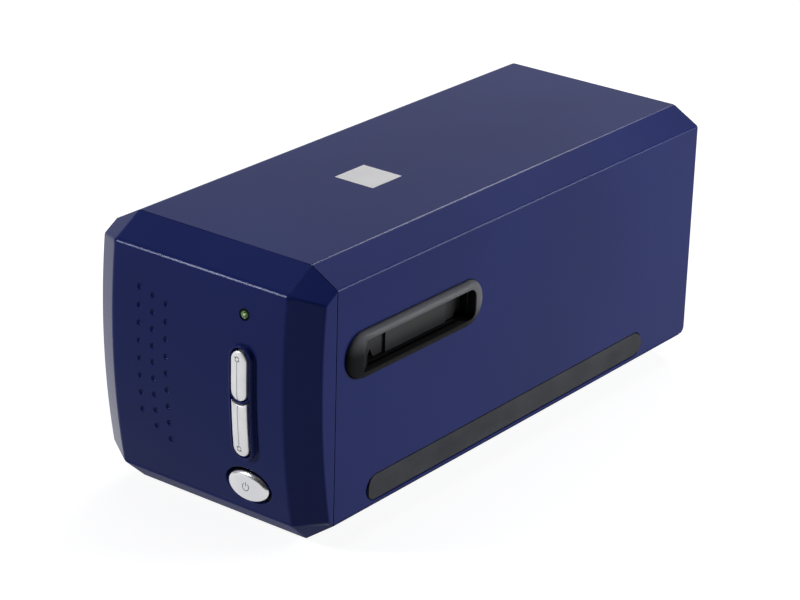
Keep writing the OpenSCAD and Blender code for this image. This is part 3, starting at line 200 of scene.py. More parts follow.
def grained(name, low, high, rough, grain, depth, patch=14.0, drawn=(1.0, 1.0, 1.0), **constants):
    """A finish of two near colours in slow patches, with a fine grain in its gloss and relief.

    rough is the lowest and highest roughness; grain, depth and patch are millimetres, and drawn
    squeezes the grain along an axis, so that it shows as lines. Constants go to the shader's sockets.
    """
    material = bpy.data.materials.new(name)
    material.use_nodes = True
    tree = material.node_tree
    tree.nodes.clear()
    shader = add_node(tree, "ShaderNodeBsdfPrincipled",
                      {key.replace("_", " "): value for key, value in constants.items()})
    add_node(tree, "ShaderNodeOutputMaterial", {"Surface": shader.outputs[0]})
    place = add_node(tree, "ShaderNodeTexCoord").outputs["Object"]
    slow = add_node(tree, "ShaderNodeTexNoise", {"Vector": place, "Scale": NOISE_PER_MM / patch, "Detail": 1.5})
    tone = span(tree, slow.outputs[0], 0.35, 0.65)
    tree.links.new(blend(tree, tone, linear(low), linear(high)), shader.inputs["Base Color"])
    lines = add_node(tree, "ShaderNodeMapping", {"Vector": place, "Scale": drawn})
    fine = add_node(tree, "ShaderNodeTexNoise", {"Vector": lines.outputs[0], "Scale": NOISE_PER_MM / grain,
                                                 "Detail": 3.0}).outputs[0]
    tree.links.new(span(tree, fine, 0.3, 0.7, *rough), shader.inputs["Roughness"])
    bump = add_node(tree, "ShaderNodeBump", {"Height": fine, "Distance": depth * MM, "Strength": 0.6})
    tree.links.new(bump.outputs[0], shader.inputs["Normal"])
    return material


def own_place(material):
    """The finish's tree and its Object coordinates."""
    tree = material.node_tree
    return tree, tree.nodes["Texture Coordinate"].outputs["Object"]


def tint(material, factor, colour, sockets=("Base Color",)):
    """Takes a finish over to another colour where the factor is one."""
    tree = material.node_tree
    tinted = blend(tree, factor, tree.nodes["Mix"].outputs[2], linear(colour))
    for socket in sockets:
        tree.links.new(tinted, tree.nodes["Principled BSDF"].inputs[socket])


def roughen(material, extra):
    """Adds to a finish's roughness."""
    tree = material.node_tree
    rough = tree.nodes["Principled BSDF"].inputs["Roughness"]
    tree.links.new(calc(tree, "ADD", rough.links[0].from_socket, extra), rough)


def navy_paint():
    """Satin navy paint sprayed on ABS: a very fine orange peel, drawn coarse enough to show, and slow tone
    changes. Its flakes tint the highlights blue. The spray lands half dry near the foot, which stays matt."""
    material = grained("satin navy paint on ABS", "#1e2a6b", "#212e72", (0.16, 0.22), 0.5, 0.01, 40.0,
                       Specular_IOR_Level=0.06, Specular_Tint=linear("#a4b4ff"), Coat_Weight=0.08,
                       Coat_Roughness=0.14)
    tree, place = own_place(material)
    height = add_node(tree, "ShaderNodeSeparateXYZ", {0: place}).outputs["Z"]
    roughen(material, span(tree, height, 12.5 * MM, 15 * MM, 0.5, 0.0))
    return material


def ring_painted_light():
    """Black moulded ABS, painted grey on its upper side and rear end as painted light, and dark below and in
    front as painted shade, where it is also rougher.
    """
    material = grained("rubbed black ABS", "#5e5f64", "#65666b", (0.34, 0.5), 0.35, 0.06,
                       Specular_IOR_Level=0.12)
    tree, place = own_place(material)
    middle = add_node(tree, "ShaderNodeVectorMath", {0: place, 1: at(0, SLOT_Y, SLOT_Z)}, operation="SUBTRACT")
    rearwards_and_up = (0.0, 12.0, 1 / (RING[1] / 2 * MM))
    side = add_node(tree, "ShaderNodeVectorMath", {0: middle.outputs[0], 1: rearwards_and_up},
                    operation="DOT_PRODUCT")
    # Painted shade: dark towards the bottom and the front; the grey of the top and rear is painted light
    painted_shade = span(tree, side.outputs["Value"], -0.5, 0.45, 1.0, 0.0, interpolation_type="SMOOTHSTEP")
    tint(material, painted_shade, "#101113")
    roughen(material, calc(tree, "MULTIPLY", painted_shade, 0.35))
    return material


def lit_pipe():
    """Clear green light pipe with a lamp behind it, which makes it glow. Its pale specks are painted highlights,
    tinted into both its colour and its glow.
    """
    material = grained("lit green light pipe", "#1d4413", "#4d7a35", (0.06, 0.12), 0.6, 0.02, 1.6,
                       Transmission_Weight=0.15, IOR=1.49, Emission_Strength=0.35)
    tree, place = own_place(material)
    # Pale specks: painted highlights in the colour and the glow
    painted_glints = add_node(tree, "ShaderNodeTexNoise", {"Vector": place, "Scale": 620.0, "Detail": 1.0})
    tint(material, span(tree, painted_glints.outputs[0], 0.53, 0.62), "#c9e2b4", ("Base Color", "Emission Color"))
    return material


def solder_mask():
    """Green lacquer over copper: the tracks under it show as slightly paler, raised lines."""
    material = grained("green solder mask", "#1c5f37", "#236b40", (0.3, 0.42), 1.5, 0.02, Coat_Weight=0.3,
                       Coat_Roughness=0.2)
    tree, place = own_place(material)
    black, white = (0, 0, 0, 1), (1, 1, 1, 1)
    tracks = add_node(tree, "ShaderNodeTexBrick", {"Vector": place, "Scale": 120.0, "Mortar Size": 0.04,
                                                   "Color1": black, "Color2": black, "Mortar": white})
    tint(material, tracks.outputs[0], "#3b8a57")
    return material


def silver_paint():
    """Silver flake paint on moulded keys: the flakes scatter the light, so it is paler and softer than metal."""
    material = grained("silver flake paint", "#ececee", "#f2f2f3", (0.36, 0.46), 0.25, 0.004, 3.0,
                       Metallic=0.55, Coat_Weight=0.2, Coat_Roughness=0.25)
    tree, place = own_place(material)
    flake = add_node(tree, "ShaderNodeTexVoronoi", {"Vector": place, "Scale": 4000.0})
    share = add_node(tree, "ShaderNodeSeparateColor", {0: flake.outputs["Color"]}).outputs[0]
    tint(material, span(tree, share, 0.0, 1.0, 0.0, 0.35), "#fbfbfd")
    return material


MATERIALS = {
    "blue_paint": navy_paint(),
    # Tool steel sparked before moulding leaves this grit on the base and the back
    "base_plastic": grained("spark-textured dark ABS", "#33353c", "#393b43", (0.5, 0.62), 0.6, 0.03),
    "ring_plastic": ring_painted_light(),
    "door_plastic": grained("black moulded ABS", "#17181a", "#1d1e21", (0.4, 0.5), 0.4, 0.015,
                            Specular_IOR_Level=0.3),
    # Moulded rubber: matt, with a dusty bloom in patches
    "rubber": grained("dark grey rubber", "#33353a", "#3f4146", (0.64, 0.76), 0.5, 0.03, 9.0,
                      Specular_IOR_Level=0.2),
    "silver_keys": silver_paint(),
    # Satin chrome plate on plastic: bright metal, blurred so that it shows its form and not the room
    "chrome_key": grained("satin chrome plate", "#cfcfd2", "#dcdcde", (0.2, 0.27), 0.3, 0.002, Metallic=1.0),
    "green_lens": lit_pipe(),
    # Coated paper sticker, faintly cockled
    "label_paper": grained("white coated sticker", "#f0f0f3", "#f6f6f8", (0.28, 0.36), 5.0, 0.03, 6.0),
    # Zinc-plated or ground steel, its marks drawn out along the depth
    "steel": grained("zinc-plated steel", "#a4a8ac", "#bdc0c4", (0.28, 0.42), 0.4, 0.008, 6.0, (1.0, 0.12, 1.0),
                     Metallic=1.0),
    "board": solder_mask(),
    "electronics": grained("epoxy moulding compound", "#1d1d20", "#28282c", (0.45, 0.56), 0.4, 0.015),
    "carriage_plastic": grained("glass-filled black nylon", "#25262a", "#303136", (0.5, 0.62), 0.5, 0.03),
    "bearing_bronze": grained("sintered bronze", "#a8813f", "#c79e55", (0.36, 0.5), 0.3, 0.01, 3.0,
                              Metallic=1.0),
    "acetal": grained("natural acetal", "#e0dbc8", "#ebe7d7", (0.32, 0.42), 0.6, 0.01, Subsurface_Weight=0.1),
    "mirror": grained("front-surface mirror", "#dfe6ea", "#e6edf0", (0.03, 0.06), 2.0, 0.0005, Metallic=1.0),
    # Optical glass with the faint blue of its coating
    "lens": grained("coated optical glass", "#dbe8f2", "#e2ecf4", (0.01, 0.03), 3.0, 0.0005,
                    Transmission_Weight=1.0, IOR=1.52, Coat_Weight=0.5),
    "diffuser": grained("milky acrylic", "#eef1f1", "#f6f7f7", (0.25, 0.35), 1.0, 0.01, Subsurface_Weight=0.2),
    "ribbon": grained("white polyester ribbon", "#dfdccf", "#e9e6db", (0.4, 0.5), 1.3, 0.02),
}
DARK_FILL = grained("dark filling of engraved lines", "#56565c", "#66666c", (0.5, 0.6), 0.3, 0.005)
BARE_ABS = grained("bare black ABS", "#1a1b1d", "#202124", (0.5, 0.6), 0.5, 0.01, Specular_IOR_Level=0.2)
# Black for painted shade: a ring in the light's counterbore and a sheet in the rear of the film opening
BLACK_PAINTED_SHADE = grained("black rubber seal", "#08090a", "#0d0e0f", (0.6, 0.7), 0.4, 0.01,
                     Specular_IOR_Level=0.05)


# --------------------------------------------------------------------------------------------------
# Outlines and skins

def slot_outline(across, lo, hi, r, steps=24):
    """A slot with round ends: lo and hi are the centres of its ends."""
    turn = [math.pi * i / steps for i in range(steps + 1)]
    return ([(across + r * math.cos(a), hi + r * math.sin(a)) for a in turn]
            + [(across - r * math.cos(a), lo - r * math.sin(a)) for a in turn])


def upper_key_outline(grow, steps=24):
    r = KEY_R + grow
    low = KEY_R + min(grow, BRIDGE_GAP)
    turn = [math.pi * i / steps for i in range(steps + 1)]
    return ([(KEYS_X + r * math.cos(a), UPPER[1] + r * math.sin(a)) for a in turn]
            + [(KEYS_X - r * math.cos(a), UPPER[0] - low * math.sin(a)) for a in turn])


def lower_key_outline(grow, steps=24):
    """The lower key nests under the upper one with a hollow upper end."""
    r = KEY_R + grow
    hollow = KEY_R + KEY_BRIDGE - min(grow, BRIDGE_GAP)
    half = math.asin(r / hollow)
    top = [half * (1 - 2 * i / steps) for i in range(steps + 1)]
    turn = [math.pi * i / steps for i in range(steps + 1)]
    return ([(KEYS_X + hollow * math.sin(a), UPPER[0] - hollow * math.cos(a)) for a in top]
            + [(KEYS_X - r * math.cos(a), LOWER[0] - r * math.sin(a)) for a in turn])


def oval_outline(w, h, steps=96):
    """The ellipse of the power button."""
    turn = [2 * math.pi * i / steps for i in range(steps)]
    return [(KEYS_X + w / 2 * math.cos(a), POWER_Z + h / 2 * math.sin(a)) for a in turn]


def circle_outline(x, z, r, steps=32):
    turn = [2 * math.pi * i / steps for i in range(steps)]
    return [(x + r * math.cos(a), z + r * math.sin(a)) for a in turn]


def arc_band(x, z, outer, inner, start, step, count):
    """A flat band bent round a centre, with its angles in degrees."""
    arc = [math.radians(start + step * i) for i in range(count)]
    return ([(x + outer * math.cos(a), z + outer * math.sin(a)) for a in arc]
            + [(x + inner * math.cos(a), z + inner * math.sin(a)) for a in reversed(arc)])


def section_outline(inset):
    """The body's eight-sided section."""
    def corner(w, h):
        reach = math.hypot(w, h)
        return SIDE_X - w - inset * (reach - w) / h, h + inset * (reach - h) / w
    xt, zt = corner(*TOP_CHAMFER)
    xb, zb = corner(*BOTTOM_CHAMFER)
    right = [(xb, inset), (SIDE_X - inset, zb), (SIDE_X - inset, BODY_H - zt), (xt, BODY_H - inset)]
    return right + [(-x, z) for x, z in reversed(right)]


def crown_y(z):
    return (z - CROWN_Z) ** 2 / (2 * CROWN_R) - BULGE


def loft(bm, levels, place, closed=False):
    """Skins between outlines of equal length; levels are (outline, height)."""
    rings = [[bm.verts.new(place(u, v, h)) for u, v in outline] for outline, h in levels]
    pairs = list(zip(rings, rings[1:])) + ([(rings[-1], rings[0])] if closed else [])
    for a, b in pairs:
        for i in range(len(a)):
            j = (i + 1) % len(a)
            bm.faces.new((a[i], a[j], b[j], b[i]))
    if not closed:
        bm.faces.new(rings[0])
        bm.faces.new(rings[-1])


def outwards(x, z, h):
    """Height h above the crown line, before the crown's curve is added."""
    return Vector((x, -h, z))


def follow_crown(bm, step=2.0):
    """Cuts the flat form into rows and lays it on the crowned front."""
    low = min(v.co.z for v in bm.verts)
    high = max(v.co.z for v in bm.verts)
    z = low + step / 2
    while z < high:
        bmesh.ops.bisect_plane(bm, geom=bm.verts[:] + bm.edges[:] + bm.faces[:], plane_co=(0, 0, z),
                               plane_no=(0, 0, 1), dist=1e-4)
        z += step
    for v in bm.verts:
        v.co.y += crown_y(v.co.z)


def flared(outline, low, top, radius, beyond, steps=4):
    """Levels of a cutter whose mouth leaves a rounded edge."""
    levels = [(outline(0), low), (outline(0), top - radius)]
    for i in range(1, steps + 1):
        a = math.pi / 2 * i / steps
        levels.append((outline(radius * (1 - math.cos(a))), top - radius + radius * math.sin(a)))
    levels.append((outline(radius), beyond))
    return levels


# --------------------------------------------------------------------------------------------------
# Pieces

def piece(name, bm, slot, body="root", material=None, smooth=35.0, drawn=True):
    """Turns a form into an object in the frame. drawn forms are in the drawing's millimetres."""
    if drawn:
        bmesh.ops.recalc_face_normals(bm, faces=bm.faces[:])
        for v in bm.verts:
            v.co = at(*v.co)
    mesh = bpy.data.meshes.new(name)
    bm.to_mesh(mesh)
    bm.free()
    obj = bpy.data.objects.new(name, mesh)
    bpy.context.scene.collection.objects.link(obj)
    mesh.materials.append(material or MATERIALS[slot])
    mesh.shade_smooth()
    mesh.set_sharp_from_angle(angle=math.radians(smooth))
    obj["ends"] = f"{body}/{slot}"
    return obj


def bake(obj):
    """Applies the modifiers to the mesh."""
    bpy.context.view_layer.update()
    depsgraph = bpy.context.evaluated_depsgraph_get()
    mesh = bpy.data.meshes.new_from_object(obj.evaluated_get(depsgraph))
    mesh.name = obj.name
    obj.modifiers.clear()
    obj.data = mesh
    return obj


def cut(obj, *cutters):
    """Takes the cutters out of obj and removes them."""
    for cutter in cutters:
        modifier = obj.modifiers.new("cut", "BOOLEAN")
        modifier.operation = "DIFFERENCE"
        modifier.solver = "EXACT"
        modifier.object = cutter
        bake(obj)
        bpy.data.objects.remove(cutter)
    return obj


def even_normals(obj, angle=32.0):
    """Large faces stay flat to the eye and the rounded edges take the turn."""
    obj.data.shade_smooth()
    obj.data.set_sharp_from_angle(angle=math.radians(angle))
    modifier = obj.modifiers.new("normals", "WEIGHTED_NORMAL")
    modifier.keep_sharp = True
    modifier.weight = 100
    return bake(obj)


def settle(obj, *nodes):
    """Hands a finished piece to its body and its CAD nodes."""
    body, slot = obj["ends"].split("/")
    del obj["ends"]
    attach(obj, body)
    if nodes:
        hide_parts(*nodes)
    return obj


def cad_form(node):
    """A merged copy of a CAD node, in metres, with its flat faces joined up."""
    bm = bmesh.new()
    bm.from_mesh(frame["nodes"][node].data)
    bmesh.ops.remove_doubles(bm, verts=bm.verts[:], dist=2e-6)
    bmesh.ops.dissolve_limit(bm, angle_limit=math.radians(0.3), verts=bm.verts[:], edges=bm.edges[:])
    return bm


def behind(bm, point, normal):
    """Keeps what lies behind a plane."""
    bmesh.ops.bisect_plane(bm, geom=bm.verts[:] + bm.edges[:] + bm.faces[:], plane_co=point, plane_no=normal,
                           clear_outer=True, dist=1e-7)


def folded(bm, degrees):
    """The edges that fold by more than some degrees."""
    bm.normal_update()
    return [e for e in bm.edges if e.calc_face_angle(0) > math.radians(degrees)]


def round_off(bm, edges, setback, segments=4):
    bmesh.ops.bevel(bm, geom=edges, offset=setback, segments=segments, profile=0.5, affect="EDGES",
                    clamp_overlap=False)


def soft_edged(node, slot, body="root", width=0.3, angle=25.0, segments=2, long_edges=None):
    """A CAD node's copy with its edges rounded, as a mould or a press leaves them.

    long_edges is the shortest length and the setback of long, free edges that are rounded more, in
    millimetres.
    """
    bm = cad_form(node)
    if long_edges:
        length, setback = long_edges
        edges = [e for e in folded(bm, angle) if e.calc_length() > length * MM and e.is_convex]
        round_off(bm, edges, setback * MM)
    obj = piece(f"{node}_body", bm, slot, body, drawn=False)
    modifier = obj.modifiers.new("edges", "BEVEL")
    modifier.width = width * MM
    modifier.segments = segments
    modifier.limit_method = "ANGLE"
    modifier.angle_limit = math.radians(angle)
    modifier.use_clamp_overlap = True
    bake(obj)
    even_normals(obj)
    return settle(obj, node)


# --------------------------------------------------------------------------------------------------
# Forms that repeat or follow a curve

def form_tree(name, sizes):
    """A geometry tree with a named input for each size; returns it with its group input node."""
    kinds = {int: "NodeSocketInt", float: "NodeSocketFloat", tuple: "NodeSocketVector",
             type(None): "NodeSocketObject"}
    tree = bpy.data.node_groups.new(name, "GeometryNodeTree")
    for label, value in sizes.items():
        socket = tree.interface.new_socket(label, in_out="INPUT", socket_type=kinds[type(value)])
        if value is not None:
            socket.default_value = value
    tree.interface.new_socket("Finish", in_out="INPUT", socket_type="NodeSocketMaterial")
    tree.interface.new_socket("Geometry", in_out="OUTPUT", socket_type="NodeSocketGeometry")
    return tree, add_node(tree, "NodeGroupInput").outputs


def close_tree(tree, given, geometry):
    """Ends a tree with real geometry in its finish."""
    real = add_node(tree, "GeometryNodeRealizeInstances", {"Geometry": geometry})
    finished = add_node(tree, "GeometryNodeSetMaterial", {"Geometry": real.outputs[0],
                                                          "Material": given["Finish"]})
    add_node(tree, "NodeGroupOutput", {0: finished.outputs[0]})
    return tree


def copied(tree, item, points):
    """Copies of an item on points."""
    form = add_node(tree, "GeometryNodeObjectInfo", {"Object": item}).outputs["Geometry"]
    return add_node(tree, "GeometryNodeInstanceOnPoints", {"Points": points, "Instance": form}).outputs[0]


def line_of_points(tree, count, start, step):
    return add_node(tree, "GeometryNodeMeshLine", {"Count": count, "Start Location": start, "Offset": step},
                    mode="OFFSET").outputs[0]


def row_tree():
    """Copies of an item in a straight row, each laid on the crowned front by the crown's sizes."""
    tree, given = form_tree("row of copies", {
        "Item": None, "Count": 8, "Start": (0.0, 0.0, 0.0), "Step": (0.0, 0.0, -7.0), "Crown Radius": 0.0,
        "Crown Middle": 0.0, "Crown Height": 0.0})
    line = line_of_points(tree, given["Count"], given["Start"], given["Step"])
    here = add_node(tree, "GeometryNodeInputPosition").outputs[0]
    height = add_node(tree, "ShaderNodeSeparateXYZ", {0: here}).outputs["Z"]
    off = calc(tree, "SUBTRACT", height, given["Crown Middle"])
    half_square = calc(tree, "MULTIPLY", calc(tree, "MULTIPLY", off, off), 0.5)
    sag = calc(tree, "DIVIDE", half_square, given["Crown Radius"])
    crown = calc(tree, "SUBTRACT", sag, given["Crown Height"])
    offset = add_node(tree, "ShaderNodeCombineXYZ", {"Y": crown}).outputs[0]
    laid = add_node(tree, "GeometryNodeSetPosition", {"Geometry": line, "Offset": offset})
    return close_tree(tree, given, copied(tree, given["Item"], laid.outputs[0]))


def coil_tree():
    """A round wire wound about an axis along the depth."""
    tree, given = form_tree("wound wire", {"Start": (0.0, 0.0, 0.0), "Radius": 2.0, "Wire Radius": 0.2,
                                           "Length": 4.0, "Turns": 4.0, "Sides": 8})
    forwards = calc(tree, "MULTIPLY", given["Length"], -1.0)
    spiral = add_node(tree, "GeometryNodeCurveSpiral", {
        "Resolution": 24, "Rotations": given["Turns"], "Height": forwards, "Start Radius": given["Radius"],
        "End Radius": given["Radius"]})
    wire = add_node(tree, "GeometryNodeCurvePrimitiveCircle", {"Resolution": given["Sides"],
                                                               "Radius": given["Wire Radius"]})
    skin = add_node(tree, "GeometryNodeCurveToMesh", {"Curve": spiral.outputs[0],
                                                      "Profile Curve": wire.outputs[0], "Fill Caps": True})
    turned = add_node(tree, "GeometryNodeTransform", {"Geometry": skin.outputs[0], "Translation": given["Start"],
                                                      "Rotation": (math.pi / 2, 0.0, 0.0)})
    return close_tree(tree, given, turned.outputs[0])


def leads_tree():
    """The leads of a square chip: a row of copies on each of its four sides."""
    tree, given = form_tree("leads of a chip", {"Item": None, "Count": 14, "Pitch": 1.0, "Chip Size": 16.0,
                                                "Place": (0.0, 0.0, 0.0)})
    length = calc(tree, "MULTIPLY", calc(tree, "ADD", given["Count"], -1.0), given["Pitch"])
    start = add_node(tree, "ShaderNodeCombineXYZ", {"X": calc(tree, "MULTIPLY", given["Chip Size"], 0.5),
                                                    "Y": calc(tree, "MULTIPLY", length, -0.5)})
    step = add_node(tree, "ShaderNodeCombineXYZ", {"Y": given["Pitch"]})
    line = line_of_points(tree, given["Count"], start.outputs[0], step.outputs[0])
    row = copied(tree, given["Item"], line)
    sides = add_node(tree, "GeometryNodeJoinGeometry")
    for quarter in range(4):
        turned = add_node(tree, "GeometryNodeTransform", {"Geometry": row,
                                                          "Rotation": (0.0, 0.0, quarter * math.pi / 2)})
        tree.links.new(turned.outputs[0], sides.inputs[0])
    placed = add_node(tree, "GeometryNodeTransform", {"Geometry": sides.outputs[0],
                                                      "Translation": given["Place"]})
    return close_tree(tree, given, placed.outputs[0])


def template(name, bm):
    """An item for a tree to copy, in the drawing's millimetres and not in the scene."""
    bmesh.ops.recalc_face_normals(bm, faces=bm.faces[:])
    mesh = bpy.data.meshes.new(name)
    bm.to_mesh(mesh)
    bm.free()
    return bpy.data.objects.new(name, mesh)


def grow(name, tree, slot, sizes, body="root", smooth=35.0):
    """Runs a tree and keeps its result as a plain piece."""
    obj = bpy.data.objects.new(name, bpy.data.meshes.new(name))
    bpy.context.scene.collection.objects.link(obj)
    modifier = obj.modifiers.new("form", "NODES")
    modifier.node_group = tree
    given = {**sizes, "Finish": MATERIALS[slot]}
    for item in tree.interface.items_tree:
        if item.in_out == "INPUT" and item.name in given:
            modifier[item.identifier] = given[item.name]
    bake(obj)
    for v in obj.data.vertices:
        v.co = at(*v.co)
    obj.data.shade_smooth()
    obj.data.set_sharp_from_angle(angle=math.radians(smooth))
    obj["ends"] = f"{body}/{slot}"
    return obj


ROW = row_tree()
COIL = coil_tree()
LEADS = leads_tree()


# --------------------------------------------------------------------------------------------------
# Front

def slope_meets(dz, t):
    """How far behind the seam a slope of gradient t, begun dz above the crown's middle, meets the crown."""
    a = t * t / (2 * CROWN_R)
    b = t * dz / CROWN_R - 1
    c = dz * dz / (2 * CROWN_R) - BULGE
    return (-b - math.sqrt(b * b - 4 * a * c)) / (2 * a)


def front_planes(inset, back):
    """The planes that bound the crowned front with its bevels, slopes and corner facets."""
    planes = [(Vector((0, back, 0)), Vector((0, 1, 0)))]
    outline = section_outline(0)
    for i, (x, z) in enumerate(outline):
        x2, z2 = outline[(i + 1) % len(outline)]
        planes.append((Vector((x, 0, z)), Vector((z2 - z, 0, x - x2))))
    planes.append((Vector((0, 0, BODY_H)), Vector((0, -math.sin(TOP_SLOPE), math.cos(TOP_SLOPE)))))
    planes.append((Vector((0, 0, 0)), Vector((0, -math.sin(BOTTOM_SLOPE), -math.cos(BOTTOM_SLOPE)))))
    out = Vector((BEVEL[0], BEVEL[1], 0))
    for k in range(CROWN_ROWS):
        z0 = BODY_H * k / CROWN_ROWS
        z1 = BODY_H * (k + 1) / CROWN_ROWS
        along = Vector((0, crown_y(z1) - crown_y(z0), z1 - z0))
        planes.append((Vector((0, crown_y(z0), z0)), Vector((0, -along.z, along.y))))
        slant = out.cross(along)
        for side in (1, -1):
            planes.append((Vector((side * FACE_HALF, crown_y(z0), z0)),
                           Vector((side * slant.x, slant.y, slant.z))))
    top_y = slope_meets(BODY_H - CROWN_Z, math.tan(TOP_SLOPE))
    low_y = slope_meets(-CROWN_Z, -math.tan(BOTTOM_SLOPE))
    corners = ((Vector((SIDE_X - TOP_CHAMFER[0], 0, BODY_H)), Vector((SIDE_X, 0, BODY_H - TOP_CHAMFER[1])),
                Vector((FACE_HALF, top_y, BODY_H + top_y * math.tan(TOP_SLOPE)))),
               (Vector((SIDE_X - BOTTOM_CHAMFER[0], 0, 0)), Vector((SIDE_X, 0, BOTTOM_CHAMFER[1])),
                Vector((FACE_HALF, low_y, -low_y * math.tan(BOTTOM_SLOPE)))))
    for a, s, f in corners:
        n = (f - a).cross(s - a)
        n *= 1 if n.x > 0 else -1
        for side in (1, -1):
            planes.append((Vector((side * a.x, a.y, a.z)), Vector((side * n.x, n.y, n.z))))
    return [(p - n.normalized() * (inset if n.y < 0.9 else 0), n.normalized()) for p, n in planes]


def front_solid(inset, back):
    """A blank cut down to the front's planes."""
    bm = bmesh.new()
    bmesh.ops.create_cube(bm, size=BLANK)
    for point, normal in front_planes(inset, back):
        done = bmesh.ops.bisect_plane(bm, geom=bm.verts[:] + bm.edges[:] + bm.faces[:], plane_co=point,
                                      plane_no=normal, clear_outer=True, dist=1e-4)
        rim = [e for e in done["geom_cut"] if isinstance(e, bmesh.types.BMEdge) and e.is_boundary]
        if len(rim) > 2:
            bmesh.ops.contextual_create(bm, geom=rim)
    bmesh.ops.remove_doubles(bm, verts=bm.verts[:], dist=0.02)
    return bm


def crowned(name, levels, slot="blue_paint", body="root"):
    """A form lofted on the crowned front; its levels are heights above the crown."""
    bm = bmesh.new()
    loft(bm, levels, outwards)
    follow_crown(bm)
    return piece(name, bm, slot, body)


def front_tube(bm, outline, inner, low, high, radius):
    """A hollow post behind the front, from y low to y high."""
    loft(bm, [(outline(r), -y) for r, y in ((radius, low), (radius, high), (inner, high), (inner, low))],
         outwards, closed=True)


def key_wells(flare):
    """Cutters of the keys' two wells, with flared mouths."""
    return [crowned(name, flared(lambda g, o=outline: o(KEY_GAP + g), WELL_DEEP, BOSS_H, flare, BOSS_H + 4))
            for name, outline in (("upper_well", upper_key_outline), ("lower_well", lower_key_outline))]


def at_seam(edge):
    return all(v.co.y > -SEAM_GAP - 0.05 for v in edge.verts)


def build_front():
    bm = front_solid(0, -SEAM_GAP)
    brow = [e for e in folded(bm, 20) if e.calc_length() > FACE_HALF
            and all(v.co.z > 90 and v.co.y < -8 for v in e.verts)]
    round_off(bm, brow, BROW_EDGE, 10)
    round_off(bm, [e for e in folded(bm, 7) if not at_seam(e)], FRONT_EDGE)
    round_off(bm, [e for e in folded(bm, 40) if at_seam(e)], SEAM_EDGE, 2)
    front = piece("bezel", bm, "blue_paint")

    cutters = [piece("hollow", front_solid(WALL, 1.0), "blue_paint"), *key_wells(0.15)]
    cutters.append(crowned("power_well", flared(
        lambda g: oval_outline(POWER[0] + 2 * (POWER_GAP + g), POWER[1] + 2 * (POWER_GAP + g)),
        WELL_DEEP, 0, 0.4, 5)))
    cutters.append(crowned("light_well", flared(
        lambda g: circle_outline(KEYS_X, LIGHT_Z, LIGHT_R + 0.7 + g), -0.9, 0, 0.15, 4)))
    bore = circle_outline(KEYS_X, LIGHT_Z, LIGHT_R + 0.04)
    cutters.append(crowned("light_bore", [(bore, WELL_DEEP), (bore, 4)]))
    bm = bmesh.new()
    loft(bm, [(circle_outline(0, 0, r, 24), h) for r, h in DIMPLE], outwards)
    pin = template("dimple_pin", bm)
    for i, (x, top, pitch, count) in enumerate(DIMPLE_ROWS):
        cutters.append(grow(f"dimple_pins_{i}", ROW, "blue_paint", {
            "Item": pin, "Count": count, "Start": (x, 0.0, top), "Step": (0.0, 0.0, -pitch),
            "Crown Radius": CROWN_R, "Crown Middle": CROWN_Z, "Crown Height": BULGE}))
    cut(front, *cutters)
    bpy.data.objects.remove(pin)
    even_normals(front)
    settle(front, "front_bezel")

    boss = crowned("button_boss", [(slot_outline(KEYS_X, LOWER[0], UPPER[1], KEY_R + BOSS_MARGIN + g), h)
                                   for g, h in BOSS_PROFILE])
    cut(boss, *key_wells(0.12))
    even_normals(boss)
    settle(boss)

    # Lips inside the cover, posts of the switch board and the collar of the light pipe
    bm = bmesh.new()
    inner = section_outline(WALL + 1.7)
    for inset, low, high in ((WALL - 0.2, -1.8, -SEAM_GAP), (WALL + 0.2, -0.25, 4.0)):
        outer = section_outline(inset)
        loft(bm, [(outer, -low), (outer, -high), (inner, -high), (inner, -low)], outwards, closed=True)
    for x, z in POSTS:
        front_tube(bm, lambda r, x=x, z=z: circle_outline(x, z, r), 1.24, crown_y(z) + 2.0, -1.0, 3.0)
    front_tube(bm, lambda r: circle_outline(KEYS_X, LIGHT_Z, r), 1.84, crown_y(LIGHT_Z) + 1.6, -9.0, 3.6)
    settle(piece("bezel_ribs", bm, "blue_paint"))


def keep_rear(node, slot, body, y):
    """The hidden rear part of a button: its flange and stem, masked when the cap was finished."""
    bm = cad_form(node)
    behind(bm, at(0, y, 0), (0, -1, 0))
    return settle(piece(f"{node}_stem", bm, slot, body, BARE_ABS, drawn=False))


def build_keys():
    top = BOSS_H + KEY_PROUD
    for node, body, outline, end_z, turn in (
            ("upper_scan_button", "upper_key", upper_key_outline, UPPER[1] + 0.5, 1),
            ("lower_scan_button", "lower_key", lower_key_outline, LOWER[0] - 0.5, -1)):
        levels = [(outline(-0.1), -3.2)] + [(outline(-0.1 - g), top - drop) for g, drop in KEY_CROWN]
        key = crowned(f"{node}_cap", levels, "silver_keys", body)
        even_normals(key, 60)
        settle(key, node)
        keep_rear(node, "silver_keys", body, KEY_STEM_Y)
        # A fine engraved line down to the gap between the keys, with a ring of two arrows at its outer end
        bm = bmesh.new()
        rim = UPPER[0] - KEY_R - (0 if turn > 0 else KEY_BRIDGE)
        run = [(rim + turn * g, top - drop) for g, drop in KEY_CROWN if g > 0.25] + [(end_z - turn * 1.25, top)]
        corners = ((-0.11, INLAY[0]), (0.11, INLAY[0]), (0.11, INLAY[1]), (-0.11, INLAY[1]))
        loft(bm, [([(MARK_X + x, h + y) for x, y in corners], z) for z, h in run],
             lambda u, v, z: Vector((u, -v, z)))
        for start in (15, 195):
            ring = arc_band(MARK_X, end_z, 1.15, 0.85, start, 12, 12)
            a = math.radians(start + 12 * 11)
            head = [(MARK_X + r * math.cos(b), end_z + r * math.sin(b))
                    for r, b in ((1.55, a - 0.1), (1.0, a + 0.55), (0.45, a - 0.1))]
            for shape in (ring, head):
                loft(bm, [(shape, top + h) for h in INLAY], outwards)
        follow_crown(bm)
        settle(piece(f"{node}_mark", bm, "silver_keys", body, DARK_FILL))


